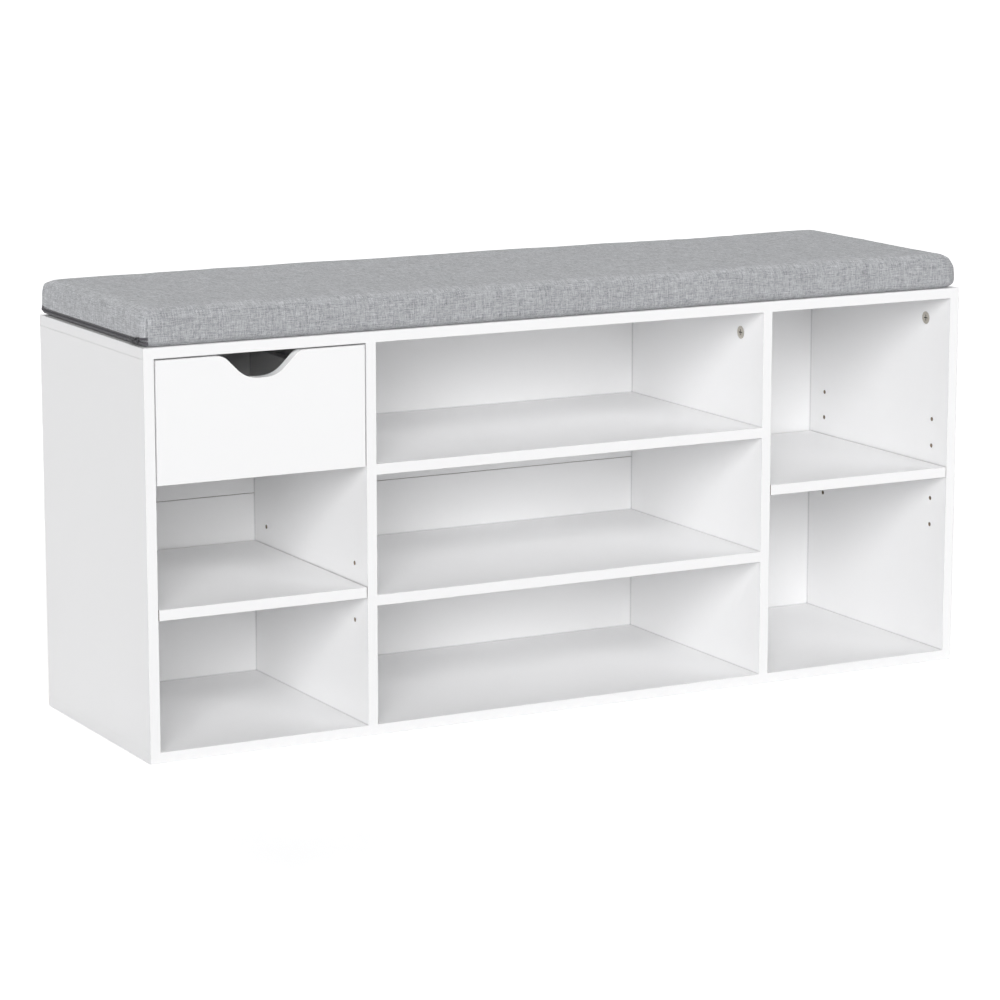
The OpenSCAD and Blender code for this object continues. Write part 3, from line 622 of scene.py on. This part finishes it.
def hardboard_material():
    """Pressed fibre board: printed white inside, raw brown fibre on its rear face."""
    look = bpy.context.scene.bench_boards
    material, tree, shader, coords = new_material("white_hardboard", 0.5)
    white = hard_white(tree, shader, coords, toned(look.white, 0.985), (500, 500, 500), 0.02 * MM, 0.5,
                       look.joint_shade)
    fine = noise(tree, stretched(tree, coords["Object"], (260, 260, 900)), 1.0, 4.0, 0.65)
    blotch = noise(tree, coords["Object"], 22.0, 4.0, 0.6)
    fibres = range_node(tree, weighted_sum(tree, fine, 0.55, blotch, 0.45), 0.3, 0.7, 0.0, 1.0)
    raw = mix_colour(tree, fibres, toned(look.fibre, 0.7), toned(look.fibre, 1.45))
    rear = math_node(tree, "GREATER_THAN", split(tree, coords["Object"])[1], BACK_FACE_Y - 0.6 * MM)
    paint(tree, shader, mix_colour(tree, rear, white, raw))
    return material


def plain_white_material(name, colour, grain_per_metre, depth, rough):
    """Band, lacquer, printed tray or tape: one white with a fine even texture, and painted shade where it
    faces the front.
    """
    material, tree, shader, coords = new_material(name, rough, Specular_IOR_Level=0.5)
    white = hard_white(tree, shader, coords, colour, (grain_per_metre,) * 3, depth, rough)
    # Painted shade on the faces that look to the front
    paint(tree, shader, with_painted_front_shade(tree, coords, white, bpy.context.scene.bench_boards.painted_front_shade))
    return material


def metal_material(name, dark, light, rough, recess_shade=0.0):
    """Small metal parts: bright metal with mottled tone and roughness. Its recesses are darkened with painted
    shade.
    """
    material, tree, shader, coords = new_material(name, rough, Metallic=1.0)
    worn = put_group(tree, worn_metal_group, coords["Object"])
    tone = mix_colour(tree, worn["Tone"], dark, light)
    # Painted shade: the cams' slots and other recesses are darkened by the gap mask
    if recess_shade:
        shade = math_node(tree, "MULTIPLY", gap_shade_mask(tree, RECESS_SHADE_REACH), recess_shade)
        tone = mix_colour(tree, shade, tone, RECESS_SHADE_BROWN)
    paint(tree, shader, tone, range_node(tree, worn["Tone"], 0.3, 0.7, rough - 0.1, rough + 0.15))
    bump(tree, shader, worn["Height"], 0.03 * MM)
    return material


def beech_material():
    """Beech dowels: fine pale grain along the rod."""
    material, tree, shader, coords = new_material("beech", 0.6)
    grain = noise(tree, stretched(tree, coords["Object"], (1500, 1500, 120)), 1.0, 3.0)
    paint(tree, shader, mix_colour(tree, grain, (0.42, 0.26, 0.13), (0.72, 0.53, 0.33)))
    bump(tree, shader, grain, 0.05 * MM)
    return material


def painted_steel_material():
    """White powder coat on the slides, with its fine peel."""
    material, tree, shader, coords = new_material("white_painted_steel", 0.35)
    hard_white(tree, shader, coords, (0.80, 0.80, 0.78), (1200, 1200, 1200), 0.03 * MM, 0.35)
    return material


def nylon_material():
    """Milky roller plastic."""
    material, tree, shader, coords = new_material("roller_plastic", 0.4, Subsurface_Weight=0.1,
                                                  Subsurface_Scale=2 * MM)
    hard_white(tree, shader, coords, (0.74, 0.73, 0.68), (2000, 2000, 2000), 0.01 * MM, 0.4)
    return material


def linen_material(name, share):
    """Grey cloth of light and dark yarns in plain weave, with slubs both ways. Share scales its colours: the
    darker copy on the corner seams is painted shade that stands in for the shade in their creases. The cover
    is also darkened with painted shade where it faces the front."""
    look = bpy.context.scene.bench_cushion
    material, tree, shader, coords = new_material(name, 0.95, Sheen_Weight=0.12, Sheen_Roughness=0.5,
                                                  Specular_IOR_Level=0.25)
    plane = put_group(tree, panel_plane_group, coords["Object"], {"Facing": coords["Normal"]})["Vector"]
    cloth = put_group(tree, woven_cloth_group, plane, {"Yarns": 1 / look.yarn, "Slub": 45.0})
    across, along = (noise(tree, stretched(tree, plane, scale), 1.0, 3.0, 0.7)
                     for scale in ((150, 1000, 1), (1000, 150, 1)))
    tone = weighted_sum(tree, math_node(tree, "ADD", across, along), 0.5, cloth["Tone"], 0.6)
    mixed = range_node(tree, tone, 0.57, 1.03, 0.0, 1.0)
    colour = mix_colour(tree, mixed, toned(look.dark_yarn, share), toned(look.light_yarn, share))
    # Painted shade: the cover is darker where it faces the front
    paint(tree, shader, with_painted_front_shade(tree, coords, colour, look.painted_front_shade))
    bump(tree, shader, cloth["Height"], 0.35 * MM, 0.7)
    return material


def zip_tape_material():
    """Dark ribbed tape."""
    look = bpy.context.scene.bench_cushion
    material, tree, shader, coords = new_material("zip_tape", 0.8, Sheen_Weight=0.2)
    cloth = put_group(tree, woven_cloth_group, coords["UV"], {"Yarns": 2200.0, "Slub": 200.0})
    turn = math_node(tree, "MULTIPLY", split(tree, coords["UV"])[1], 2 * math.pi / RIB_PITCH)
    lines = range_node(tree, math_node(tree, "SINE", turn), -0.6, 0.6, -0.25, 0.55)
    share = math_node(tree, "ADD", lines, math_node(tree, "MULTIPLY", cloth["Tone"], 0.5), clamp=True)
    paint(tree, shader, mix_colour(tree, share, tuple(look.zip_grey), toned(look.zip_grey, 3.2)))
    bump(tree, shader, cloth["Height"], 0.1 * MM)
    return material


def dark_gloss_material(name, colour, rough, **sockets):
    """Nylon teeth or enamelled zip hardware."""
    material, tree, shader, coords = new_material(name, rough, **sockets)
    rub = noise(tree, coords["Object"], 1500.0, 3.0)
    paint(tree, shader, mix_colour(tree, rub, toned(colour, 0.8), toned(colour, 1.5)),
          range_node(tree, rub, 0.3, 0.7, rough - 0.08, rough + 0.12))
    return material


def floor_material():
    """Pale matt floor with the faintest mottling. It is lifted towards white where the camera sees it
    directly, and lights nothing by itself."""
    look = bpy.context.scene.bench_stage
    material, tree, shader, coords = new_material("pale_floor", 0.9, Specular_IOR_Level=0.1)
    white = tuple(look.floor_white)
    cloud = noise(tree, coords["Object"], 1.5, 3.0)
    paint(tree, shader, mix_colour(tree, cloud, toned(white, 0.995), white))
    shader.inputs["Emission Color"].default_value = (1, 1, 1, 1)
    seen = node(tree, "ShaderNodeLightPath").outputs["Is Camera Ray"]
    feed(tree, shader.inputs["Emission Strength"], math_node(tree, "MULTIPLY", seen, look.glow))
    return material


def paint_nodes(names, material):
    """Gives CAD nodes one material."""
    for name in names:
        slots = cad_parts[name].data.materials
        slots.clear()
        slots.append(material)


def soften(names, width):
    """Live modifiers on CAD nodes: one joins doubled points, one gives sharp edges a tiny bevel."""
    for name in names:
        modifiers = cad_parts[name].modifiers
        weld = modifiers.new("join", "WELD")
        weld.merge_threshold = 0.02 * MM
        arris = modifiers.new("arris", "BEVEL")
        arris.width = width
        arris.segments = 2
        arris.limit_method = "ANGLE"
        arris.angle_limit = 0.6
        arris.use_clamp_overlap = True
        arris.harden_normals = True


# ---------------------------------------------------------------- cushion

def rounded_plan(half_x, half_y, radius, count):
    """A rounded rectangle as count points. Each corner arc takes an equal share of the turn, and the straight
    stretches lie between the arcs' ends. The sizes may be arrays with a value for each point."""
    turn = full_turn(count) + math.pi / count
    corner = np.floor(turn / (math.pi / 2))
    middle_x = np.where((corner == 0) | (corner == 3), 1, -1) * (half_x - radius)
    middle_y = np.where(corner < 2, 1, -1) * (half_y - radius)
    return np.stack([middle_x + radius * np.cos(turn), middle_y + radius * np.sin(turn)], -1)


def pad_surface(low, high):
    """The cut shape of a boxed pad, as rings from the middle of the base to the middle of the top. A ring is
    the plan drawn inwards by an inset: the inset runs out along the base, round the lower edge as a quarter
    circle, up the side, round the upper edge as a quarter circle and in along the top. The edges' radii grow
    towards the right end by a smooth step of the cosine of the turn, and the base's towards the left end too,
    by a plain ramp of it."""
    half = (high - low) / 2
    centre = (high + low) / 2
    turn = full_turn(PLAN_COLUMNS) + math.pi / PLAN_COLUMNS
    right, left = (np.clip((cosine - 0.1) / 0.8, 0, 1) for cosine in (np.cos(turn), -np.cos(turn)))
    right = right * right * (3 - 2 * right)
    top_radius = (TOP_RADIUS + (RIGHT_TOP_RADIUS - TOP_RADIUS) * right)[None]
    bottom_radius = (BASE_RADIUS + (RIGHT_BASE_RADIUS - BASE_RADIUS) * right
                     + (LEFT_BASE_RADIUS - BASE_RADIUS) * left)[None]
    plan_radius = np.where(np.cos(turn) > 0, RIGHT_PLAN_RADIUS, PLAN_RADIUS)
    arc = np.linspace(0, math.pi / 2, 9)[:, None]
    reach = half[1] - 1 * MM
    spread = np.linspace(1, 0, 12)[:-1, None]
    share = np.linspace(0, 1, 6)[1:-1, None]
    flat = np.zeros((1, PLAN_COLUMNS))
    insets = np.concatenate([
        bottom_radius + (reach - bottom_radius) * spread,
        bottom_radius * (1 - np.sin(arc)),
        share * flat,
        top_radius * (1 - np.cos(arc)),
        top_radius + (reach - top_radius) * (1 - spread[::-1]),
    ])
    side_low, side_high = low[2] + bottom_radius, high[2] - top_radius
    heights = np.concatenate([
        low[2] + flat * spread,
        low[2] + bottom_radius * (1 - np.cos(arc)),
        side_low + (side_high - side_low) * share,
        side_high + top_radius * np.sin(arc),
        high[2] + flat * spread,
    ])
    rings = []
    for inset, z in zip(insets, heights):
        radius = np.maximum(plan_radius - inset, 0.4 * MM)
        plan = rounded_plan(half[0] - inset, half[1] - inset, radius, PLAN_COLUMNS) + centre[:2]
        rings.append(np.column_stack([plan, z]))
    return np.array(rings)


def simulated(made, pressure, steps):
    """The object's points after a cloth simulation that blows it up against its own stretch."""
    cloth = made.modifiers.new("cover", "CLOTH")
    settings = cloth.settings
    settings.quality = 4
    settings.use_pressure = True
    settings.uniform_pressure_force = pressure
    settings.effector_weights.gravity = 0
    settings.tension_stiffness = settings.compression_stiffness = 40
    settings.bending_stiffness = 4
    cloth.point_cache.frame_start = 1
    cloth.point_cache.frame_end = steps
    for step in range(1, steps + 1):
        bpy.context.scene.frame_set(step)
    mesh = evaluated_copy(made, "cover_after_cloth")
    points = points_of(mesh)
    bpy.data.meshes.remove(mesh)
    made.modifiers.remove(cloth)
    bpy.context.scene.frame_set(1)
    return points


def cloth_waves(points):
    """Soft unevenness of a cover over foam, in metres: four slow waves with unlike directions, and short
    puckers that fade away from the upright corners."""
    x, y, z = points.T
    slow = (np.sin(9.0 * x + 14.0 * y + 0.4) + np.sin(-15.0 * x + 9.0 * y + 1.9)
            + 0.7 * np.sin(31.0 * x + 23.0 * y + 4.1) + 0.5 * np.sin(47.0 * x - 39.0 * y + 20.0 * z))
    corner_gap = np.hypot(np.abs(x) - PAD_HIGH[0], np.abs(y) - PAD_HIGH[1])
    pucker = np.exp(-((corner_gap / 0.045) ** 2)) * np.sin(260.0 * z + 90.0 * (x + y))
    return 0.32 * MM * slow, 0.35 * MM * pucker


def cushion_mesh():
    """The padded cover: cut shape, even mesh, simulation, capped swell, flat base and one subdivision."""
    look = bpy.context.scene.bench_cushion
    low, high = PAD_LOW + PAD_MARGIN, PAD_HIGH - PAD_MARGIN
    low[2] = PAD_BASE_Z
    cut = ring_mesh("cushion_cut", pad_surface(low, high))
    face_out(cut)
    made = new_object("cushion_cut", cut)
    even = made.modifiers.new("even", "REMESH")
    even.mode = "VOXEL"
    even.voxel_size = look.voxel
    even_mesh = evaluated_copy(made, "cushion_even")
    made.modifiers.remove(even)
    made.data = even_mesh
    start = points_of(even_mesh)
    end = simulated(made, look.pressure, look.steps)
    outward = np.empty(len(start) * 3, np.float32)
    even_mesh.vertex_normals.foreach_get("vector", outward)
    outward = outward.reshape(-1, 3).astype(float)
    swell = np.einsum("ij,ij->i", end - start, outward)
    rise = start[:, 2] - low[2] - SWELL_START
    cap = look.crown * np.clip(rise / SWELL_RISE, 0.02, 1)
    points = start + outward * np.clip(swell, -look.tuck * cap, cap)[:, None]
    slow, pucker = cloth_waves(start)
    upper = np.clip(rise / WAVE_RISE, 0, 1)
    points[:, 2] += slow * upper
    points[:, :2] += outward[:, :2] * ((slow * 0.5 + pucker) * upper)[:, None]
    points[:, 2] = np.maximum(points[:, 2], low[2])
    set_points(even_mesh, points)
    finer = made.modifiers.new("finer", "SUBSURF")
    finer.levels = finer.render_levels = 1
    mesh = evaluated_copy(made, "cushion_cover_cloth")
    bpy.data.objects.remove(made)
    settled = points_of(mesh)
    settled[:, 2] = np.maximum(settled[:, 2], low[2] - 0.1 * MM)
    set_points(mesh, settled)
    return mesh


def surface_points(tree, starts, aims):
    """Where rays from starts along aims first meet the cushion."""
    found = [tree.ray_cast(Vector(start), Vector(aim))[0] for start, aim in zip(starts, aims)]
    if None in found:
        raise RuntimeError("a seam's ray misses the cushion")
    return np.array(found)


def plan_walk(half_x, half_y, radius, spacing):
    """Points and outward directions once round a rounded rectangle, evenly spaced, from the middle of +X."""
    corner_turns = [(1, 1, 0), (-1, 1, 1), (-1, -1, 2), (1, -1, 3)]
    points, normals = [], []
    for sx, sy, quarter in corner_turns:
        turn = (quarter + np.linspace(0, 1, 9)) * math.pi / 2
        normal = np.stack([np.cos(turn), np.sin(turn)], -1)
        points.append(np.array([sx * (half_x - radius), sy * (half_y - radius)]) + radius * normal)
        normals.append(normal)
    points, normals = np.concatenate(points), np.concatenate(normals)
    loop, loop_normals = (np.concatenate([rows, rows[:1]]) for rows in (points, normals))
    reach = lengths_along(loop)
    at = np.linspace(0, reach[-1], int(reach[-1] / spacing), endpoint=False)
    return columns_at(at, reach, loop), unit_rows(columns_at(at, reach, loop_normals))


def base_inset(z):
    """How far the cut cover stands back from its plan at a height near its left base: a quarter circle."""
    rise = np.clip(LEFT_BASE_RADIUS - (z - PAD_BASE_Z), 0, LEFT_BASE_RADIUS)
    return LEFT_BASE_RADIUS - np.sqrt(LEFT_BASE_RADIUS**2 - rise**2)


def zip_walk():
    """Points, outward directions and lengths along the zip in plan: round the rear left corner, along the
    left end and round the front left corner to its seam."""
    half_x, half_y = PAD_HIGH[:2] - PAD_MARGIN - ZIP_SINK
    rear = np.radians(np.linspace(REAR_ZIP_TURN, 180, 14))
    front = np.radians(np.linspace(180, FRONT_SEAM_TURN, 12))
    straight = np.linspace(1, -1, 152)[1:-1]
    turn = np.concatenate([rear, np.full(len(straight), math.pi), front])
    along = np.concatenate([np.ones(len(rear)), straight, -np.ones(len(front))]) * (half_y - PLAN_RADIUS)
    out = np.stack([np.cos(turn), np.sin(turn)], -1)
    place = np.stack([np.full(len(turn), PLAN_RADIUS - half_x), along], -1) + PLAN_RADIUS * out
    return place, out, lengths_along(place)


def aim(made, turn, fall):
    """Points a lamp or a camera: turned from +Y to the right, and down by a fall. Returns the direction."""
    ahead = Vector((math.sin(turn) * math.cos(fall), math.cos(turn) * math.cos(fall), -math.sin(fall)))
    made.rotation_mode = "QUATERNION"
    made.rotation_quaternion = ahead.to_track_quat("-Z", "Y")
    return ahead


# ---------------------------------------------------------------- operators

class BENCH_OT_boards(bpy.types.Operator):
    """Paint the boards, edge bands, back and drawer front"""

    bl_idname = "bench.boards"
    bl_label = "Boards"

    def execute(self, context):
        look = context.scene.bench_boards
        paint_nodes(UPRIGHT_BOARDS, board_material("white_board_upright", [0], 2))
        paint_nodes(LEVEL_BOARDS, board_material("white_board_level", [2], 0))
        paint_nodes(DRAWER_SIDES, board_material("white_board_drawer_side", [0, 2], 1))
        paint_nodes(["drawer_back"], board_material("white_board_drawer_back", [1, 2], 0))
        band_white, white = tuple(look.band_white), tuple(look.white)
        band = plain_white_material("white_edge_band", band_white, 900, 0.01 * MM, 0.33)
        lacquer = plain_white_material("white_lacquer", band_white, 400, 0.01 * MM, 0.36)
        tray = plain_white_material("white_tray", white, 500, 0.02 * MM, 0.5)
        for finish, material in (("band", band), ("tape", band), ("lacquer", lacquer), ("tray", tray),
                                 ("hardboard", hardboard_material())):
            paint_nodes(FINISHES[finish], material)
        for names in (UPRIGHT_BOARDS, LEVEL_BOARDS, DRAWER_SIDES, ["drawer_back"], FINISHES["lacquer"],
                      FINISHES["band"]):
            soften(names, look.arris)
        return {"FINISHED"}


class BENCH_OT_fittings(bpy.types.Operator):
    """Paint the cams, bolts, screws, pins, dowels, slides and rollers"""

    bl_idname = "bench.fittings"
    bl_label = "Fittings"

    def execute(self, context):
        # The casting's last number is the strength of the painted shade in its recesses
        casting = metal_material("zinc_casting", (0.58, 0.55, 0.49), (0.82, 0.78, 0.71), 0.55, 0.9)
        plated = metal_material("plated_steel", (0.55, 0.55, 0.54), (0.80, 0.79, 0.77), 0.3)
        for finish, material in (("casting", casting), ("plated", plated), ("beech", beech_material()),
                                 ("painted", painted_steel_material()), ("nylon", nylon_material())):
            paint_nodes(FINISHES[finish], material)
        return {"FINISHED"}


class BENCH_OT_cushion(bpy.types.Operator):
    """Make the padded cushion and the seams of its cover"""

    bl_idname = "bench.cushion"
    bl_label = "Cushion"

    def execute(self, context):
        linen = linen_material("grey_linen", 1.0)
        # Painted shade: a darker copy of the linen for the corner seams, in place of the shade in their
        # creases
        seam_shade_linen = linen_material("grey_linen_fold", 0.62)
        mesh = cushion_mesh()
        cover = piece("cushion_cover_cloth", mesh, linen, "cushion")
        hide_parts("cushion_cover", "cushion_foam")
        tree = BVHTree.FromPolygons([v.co for v in mesh.vertices], [p.vertices for p in mesh.polygons])
        self.upright_seams(tree, seam_shade_linen)
        self.base_seam(tree, linen)
        self.zip_hem(linen)
        return {"FINISHED"}

    def upright_seams(self, tree, linen):
        """A thin fold of cloth up each corner, found on the cover by rays aimed at the middle of the corner's
        arc. The front left one stands a little round towards the front, where the zip ends. Its cloth is the
        darker linen, painted shade for the crease of the seam."""
        corners = ((-1, -1, FRONT_SEAM_TURN), (1, -1, 315), (1, 1, 45), (-1, 1, 135))
        for number, (sx, sy, degrees) in enumerate(corners):
            turn = math.radians(degrees)
            out = np.array([math.cos(turn), math.sin(turn), 0])
            radius = RIGHT_PLAN_RADIUS if sx > 0 else PLAN_RADIUS
            middle = np.array([sx * (PAD_HIGH[0] - radius), sy * (PAD_HIGH[1] - radius), 0])
            levels = np.linspace(PAD_BASE_Z + 2 * MM, PAD_HIGH[2] - (13 if sx > 0 else 9) * MM, 30)
            starts = middle + 40 * MM * out + np.array([[0, 0, z] for z in levels])
            path = surface_points(tree, starts, [-out] * len(levels)) - 0.15 * MM * out
            path += 0.08 * MM * np.sin(levels * 900)[:, None] * np.cross(out, [0, 0, 1])
            self.cord(f"corner_seam_{number}", path, np.tile(out, (len(path), 1)), SEAM_RADIUS, linen)

    def base_seam(self, tree, linen):
        """The fold where the sides meet the base cloth, once round just above the board."""
        place, out = plan_walk(PAD_HIGH[0], PAD_HIGH[1], PLAN_RADIUS, 6 * MM)
        starts = np.column_stack([place + out * 20 * MM, np.full(len(place), PAD_BASE_Z + 1.2 * MM)])
        aims = np.column_stack([-out, np.zeros(len(out))])
        path = surface_points(tree, starts, aims)
        path, aims = np.concatenate([path, path[:1]]), np.concatenate([aims, aims[:1]])
        self.cord("base_seam", path, -aims, BASE_SEAM_RADIUS, linen)

    def zip_hem(self, linen):
        """The folded edge of the cover over the zip's upper tape. Its height wavers by two sines."""
        place, out, length = zip_walk()
        z = ZIP_HIGH.z + 0.35 * MM + 0.3 * MM * np.sin(length * 170) + 0.2 * MM * np.sin(length * 71 + 1.0)
        path = np.column_stack([place - out * base_inset(z)[:, None] + out * 0.2 * MM, z])
        self.cord("zip_hem", path, np.column_stack([out, np.zeros(len(out))]), HEM_RADIUS, linen)

    def cord(self, name, path, outward, radius, linen):
        """A round roll of cloth along a path."""
        rings = swept(path, outward, circle_outline(radius, 8))
        mesh = ring_mesh(name, rings)
        put_length_uv(mesh, rings, path)
        piece(name, mesh, linen, "cushion")


class BENCH_OT_zip(bpy.types.Operator):
    """Make the zip along the left end of the cushion: tapes, teeth, slider and pull"""

    bl_idname = "bench.zip"
    bl_label = "Zip"

    def execute(self, context):
        enamel = dark_gloss_material("dark_painted_metal", (0.05, 0.05, 0.055), 0.35, Metallic=0.3)
        self.tapes()
        self.teeth()
        self.slider(enamel)
        self.pull(enamel)
        return {"FINISHED"}

    def tapes(self):
        """Two ribbed tapes that lie on the rounded foot of the cover. The outline of each is a strip whose
        outer face is a row of half sine ribs, and each of its points keeps its height and inset."""
        tape = zip_tape_material()
        place, out, _ = zip_walk()
        for label, low, high in (("lower", ZIP_LOW.z - 0.8 * MM, TEETH_LOW.z),
                                 ("upper", TEETH_HIGH.z, ZIP_HIGH.z)):
            z = np.linspace(low, high, 25)
            ribs = 0.45 * MM + 0.2 * MM * np.abs(np.sin((z - low) / (high - low) * math.pi * 2))
            z = np.concatenate([z, z[[-1, 0]]])
            inset = base_inset(z) - np.concatenate([ribs, [-0.9 * MM, -0.9 * MM]])
            flat = place[:, None] - out[:, None] * inset[None, :, None]
            rings = np.concatenate([flat, np.broadcast_to(z[None, :, None], (*flat.shape[:2], 1))], -1)
            mesh = ring_mesh(f"zip_tape_{label}", rings)
            put_length_uv(mesh, rings, rings[:, 0])
            piece(f"zip_tape_{label}", mesh, tape, "cushion")
        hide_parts("zip_tapes")

    def teeth(self):
        """Interlocked nylon loops: a small half ring for each tooth, from the two tapes by turns."""
        nylon = dark_gloss_material("zip_plastic", (0.05, 0.05, 0.055), 0.4)
        place, out, length = zip_walk()
        at = np.arange(1.0 * MM, length[-1] - 1.0 * MM, TOOTH_PITCH)
        count = len(at)
        middle = (TEETH_LOW.z + TEETH_HIGH.z) / 2
        spot, away = columns_at(at, length, place), unit_rows(columns_at(at, length, out))
        ahead = np.stack([-away[:, 1], away[:, 0]], -1)
        around = np.linspace(0, math.pi, 6)[:, None]
        thick = full_turn(5)[None]
        reach = 0.8 * MM + TOOTH_WIRE * np.cos(thick)
        lift = np.sin(around) * reach * 0.8 + 0.25 * MM
        rise = np.cos(around) * (reach + 0.35 * MM)
        along = TOOTH_WIRE * np.sin(thick) + 0 * around
        lift, rise, along = (part.reshape(1, -1, 1) for part in (lift, rise, along))
        foot = spot - away * base_inset(middle)
        flat = foot[:, None] + away[:, None] * lift + ahead[:, None] * along
        height = middle + rise + np.where(np.arange(count) % 2, 0.25, -0.25)[:, None, None] * MM
        points = np.concatenate([flat, height], -1).reshape(-1, 3)
        size = reach.size * len(around)
        faces = [np.concatenate([block + size * k for k in range(count)])
                 for block in ring_faces(len(around), thick.size)]
        made = piece("zip_coil", mesh_from_arrays("zip_coil", points, faces), nylon, "cushion")
        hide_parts("zip_teeth")

    def slider(self, enamel):
        """A shield shaped plate over the teeth with a rounded rim, and a bow across it that holds the pull.
        The rim's inset is a quarter circle of the height, and the bow is a half ellipse."""
        low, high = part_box("zip_slider")
        middle = np.array([low.y + high.y, low.z + high.z]) / 2
        half = np.array([high.y - low.y, high.z - low.z]) / 2
        count = 40
        taper = 0.88 - 0.12 * np.cos(full_turn(count))
        shield = blunt_outline(count, 0.6) * np.stack([np.ones(count), taper], -1) * half
        bend = np.linspace(0, math.pi / 2, 5)
        rim = 0.5 * MM
        heights = np.concatenate([[0.0], 0.8 * MM + rim * np.sin(bend)])
        shrink = np.concatenate([[0.0], rim * (1 - np.cos(bend))])
        face = high.x + 0.1 * MM
        plate = np.array([
            np.column_stack([np.full(count, face - height), shield * (1 - inset / half) + middle])
            for height, inset in zip(heights, shrink)])
        bow_turn = np.linspace(0, math.pi, 15)
        root, foot = face - 1.0 * MM, low.y + 2.7 * MM
        top = root - low.x - 0.45 * MM
        bow = np.stack([root - top * np.sin(bow_turn), foot - 1.9 * MM * np.cos(bow_turn),
                        np.full(len(bow_turn), middle[1])], -1)
        tube = swept(bow, np.tile([0, 0, 1.0], (len(bow), 1)), circle_outline(0.5 * MM, 10) * [1.7, 0.9])
        points = np.concatenate([plate.reshape(-1, 3), tube.reshape(-1, 3)])
        faces = ring_faces(*plate.shape[:2])
        faces += [block + plate.size // 3 for block in ring_faces(*tube.shape[:2])]
        made = piece("zip_slider_shell", mesh_from_arrays("zip_slider_shell", points, faces), enamel,
                     "zip_slider")
        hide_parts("zip_slider")

    def pull(self, enamel):
        """A flat tapered tab with a long eye at the bow. Outer and inner outlines are rounded oblongs, joined
        by rings that go up the outside, across the face, down the eye and back across the underside."""
        low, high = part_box("zip_pull")
        count = 48
        oblong = blunt_outline(count, 0.55)
        middle = np.array([low.y + high.y, low.z + high.z]) / 2
        half = np.array([high.y - low.y, high.z - low.z]) / 2 - 0.1 * MM
        outer = oblong * half * np.stack([np.ones(count), 0.86 - 0.14 * oblong[:, 0]], -1) + middle
        eye = oblong * [2.0 * MM, 1.25 * MM] + [low.y + 3.3 * MM, middle[1]]
        depth = (low.x + high.x) / 2
        thick = 0.45 * MM
        section = ((0.0, -0.6), (0.0, 0.6), (0.06, 1.0), (0.94, 1.0), (1.0, 0.6), (1.0, -0.6), (0.94, -1.0),
                   (0.06, -1.0))
        points = np.array([np.column_stack([np.full(count, depth - thick * level),
                                            outer * (1 - share) + eye * share]) for share, level in section])
        row, here = np.arange(len(section))[:, None] * count, np.arange(count)[None]
        after, beside = np.roll(row, -1, axis=0), (here + 1) % count
        quads = np.stack([row + here, row + beside, after + beside, after + here], -1)
        mesh = mesh_from_arrays("zip_pull_tab", points.reshape(-1, 3), [quads.reshape(-1, 4)])
        made = piece("zip_pull_tab", mesh, enamel, "zip_pull")
        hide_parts("zip_pull")


class BENCH_OT_stage(bpy.types.Operator):
    """Make the floor, the light and the camera"""

    bl_idname = "bench.stage"
    bl_label = "Stage"

    def execute(self, context):
        look = context.scene.bench_stage
        self.floor()
        self.light(context, look)
        self.camera(context, look)
        return {"FINISHED"}

    def floor(self):
        reach = 40.0
        grid = np.array([[-reach, -reach, 0], [reach, -reach, 0], [reach, reach, 0], [-reach, reach, 0]])
        mesh = mesh_from_arrays("floor", grid, [np.arange(4)[None, :]])
        mesh.materials.append(floor_material())
        new_object("floor", mesh)

    def light(self, context, look):
        world = bpy.data.worlds.new("soft_room")
        world.use_nodes = True
        tree = world.node_tree
        room = tree.nodes["Background"].inputs
        room["Color"].default_value = (1.0, 1.0, 1.0, 1)
        # Seen directly, the room is as white as the floor
        seen = node(tree, "ShaderNodeLightPath").outputs["Is Camera Ray"]
        feed(tree, room["Strength"], range_node(tree, seen, 0, 1, look.sky, 1))
        context.scene.world = world
        for name, degrees in LAMPS.items():
            lamp = bpy.data.lights.new(f"{name}_light", "SUN")
            lamp.energy = getattr(look, name)
            lamp.angle = math.radians(LAMP_SPREAD)
            turn, rise = (math.radians(angle) for angle in degrees)
            made = new_object(lamp.name, lamp)
            made.location = -LAMP_DISTANCE * aim(made, -turn, rise)
        context.scene.view_settings.view_transform = "Standard"
        context.scene.view_settings.look = "None"

    def camera(self, context, look):
        data = bpy.data.cameras.new("camera")
        data.lens = look.lens
        data.sensor_width = 36.0
        data.clip_end = 100.0
        made = new_object("camera", data)
        made.location = look.place
        aim(made, look.yaw, look.tilt)
        context.scene.camera = made


OPERATORS = (BENCH_OT_stage, BENCH_OT_boards, BENCH_OT_fittings, BENCH_OT_cushion, BENCH_OT_zip)


class BENCH_PT_panel(bpy.types.Panel):
    """Lists the bench's parts in the sidebar"""

    bl_idname = "BENCH_PT_panel"
    bl_label = "Entryway bench"
    bl_space_type = "VIEW_3D"
    bl_region_type = "UI"
    bl_category = "Bench"

    def draw(self, context):
        for group in ("bench_boards", "bench_cushion", "bench_stage"):
            box = self.layout.box()
            settings = getattr(context.scene, group)
            for name in settings.bl_rna.properties.keys():
                if name not in {"rna_type", "name"}:
                    box.prop(settings, name)
        for operator in OPERATORS:
            self.layout.operator(operator.bl_idname)


CLASSES = (BenchBoardSettings, BenchCushionSettings, BenchStageSettings, *OPERATORS, BENCH_PT_panel)


def register():
    for made in CLASSES:
        bpy.utils.register_class(made)
    bpy.types.Scene.bench_boards = PointerProperty(type=BenchBoardSettings)
    bpy.types.Scene.bench_cushion = PointerProperty(type=BenchCushionSettings)
    bpy.types.Scene.bench_stage = PointerProperty(type=BenchStageSettings)


def unregister():
    del bpy.types.Scene.bench_stage
    del bpy.types.Scene.bench_cushion
    del bpy.types.Scene.bench_boards
    for made in reversed(CLASSES):
        bpy.utils.unregister_class(made)


def main():
    register()
    bpy.ops.bench.stage()
    bpy.ops.bench.boards()
    bpy.ops.bench.fittings()
    bpy.ops.bench.cushion()
    bpy.ops.bench.zip()


if __name__ == "__main__":
    main()
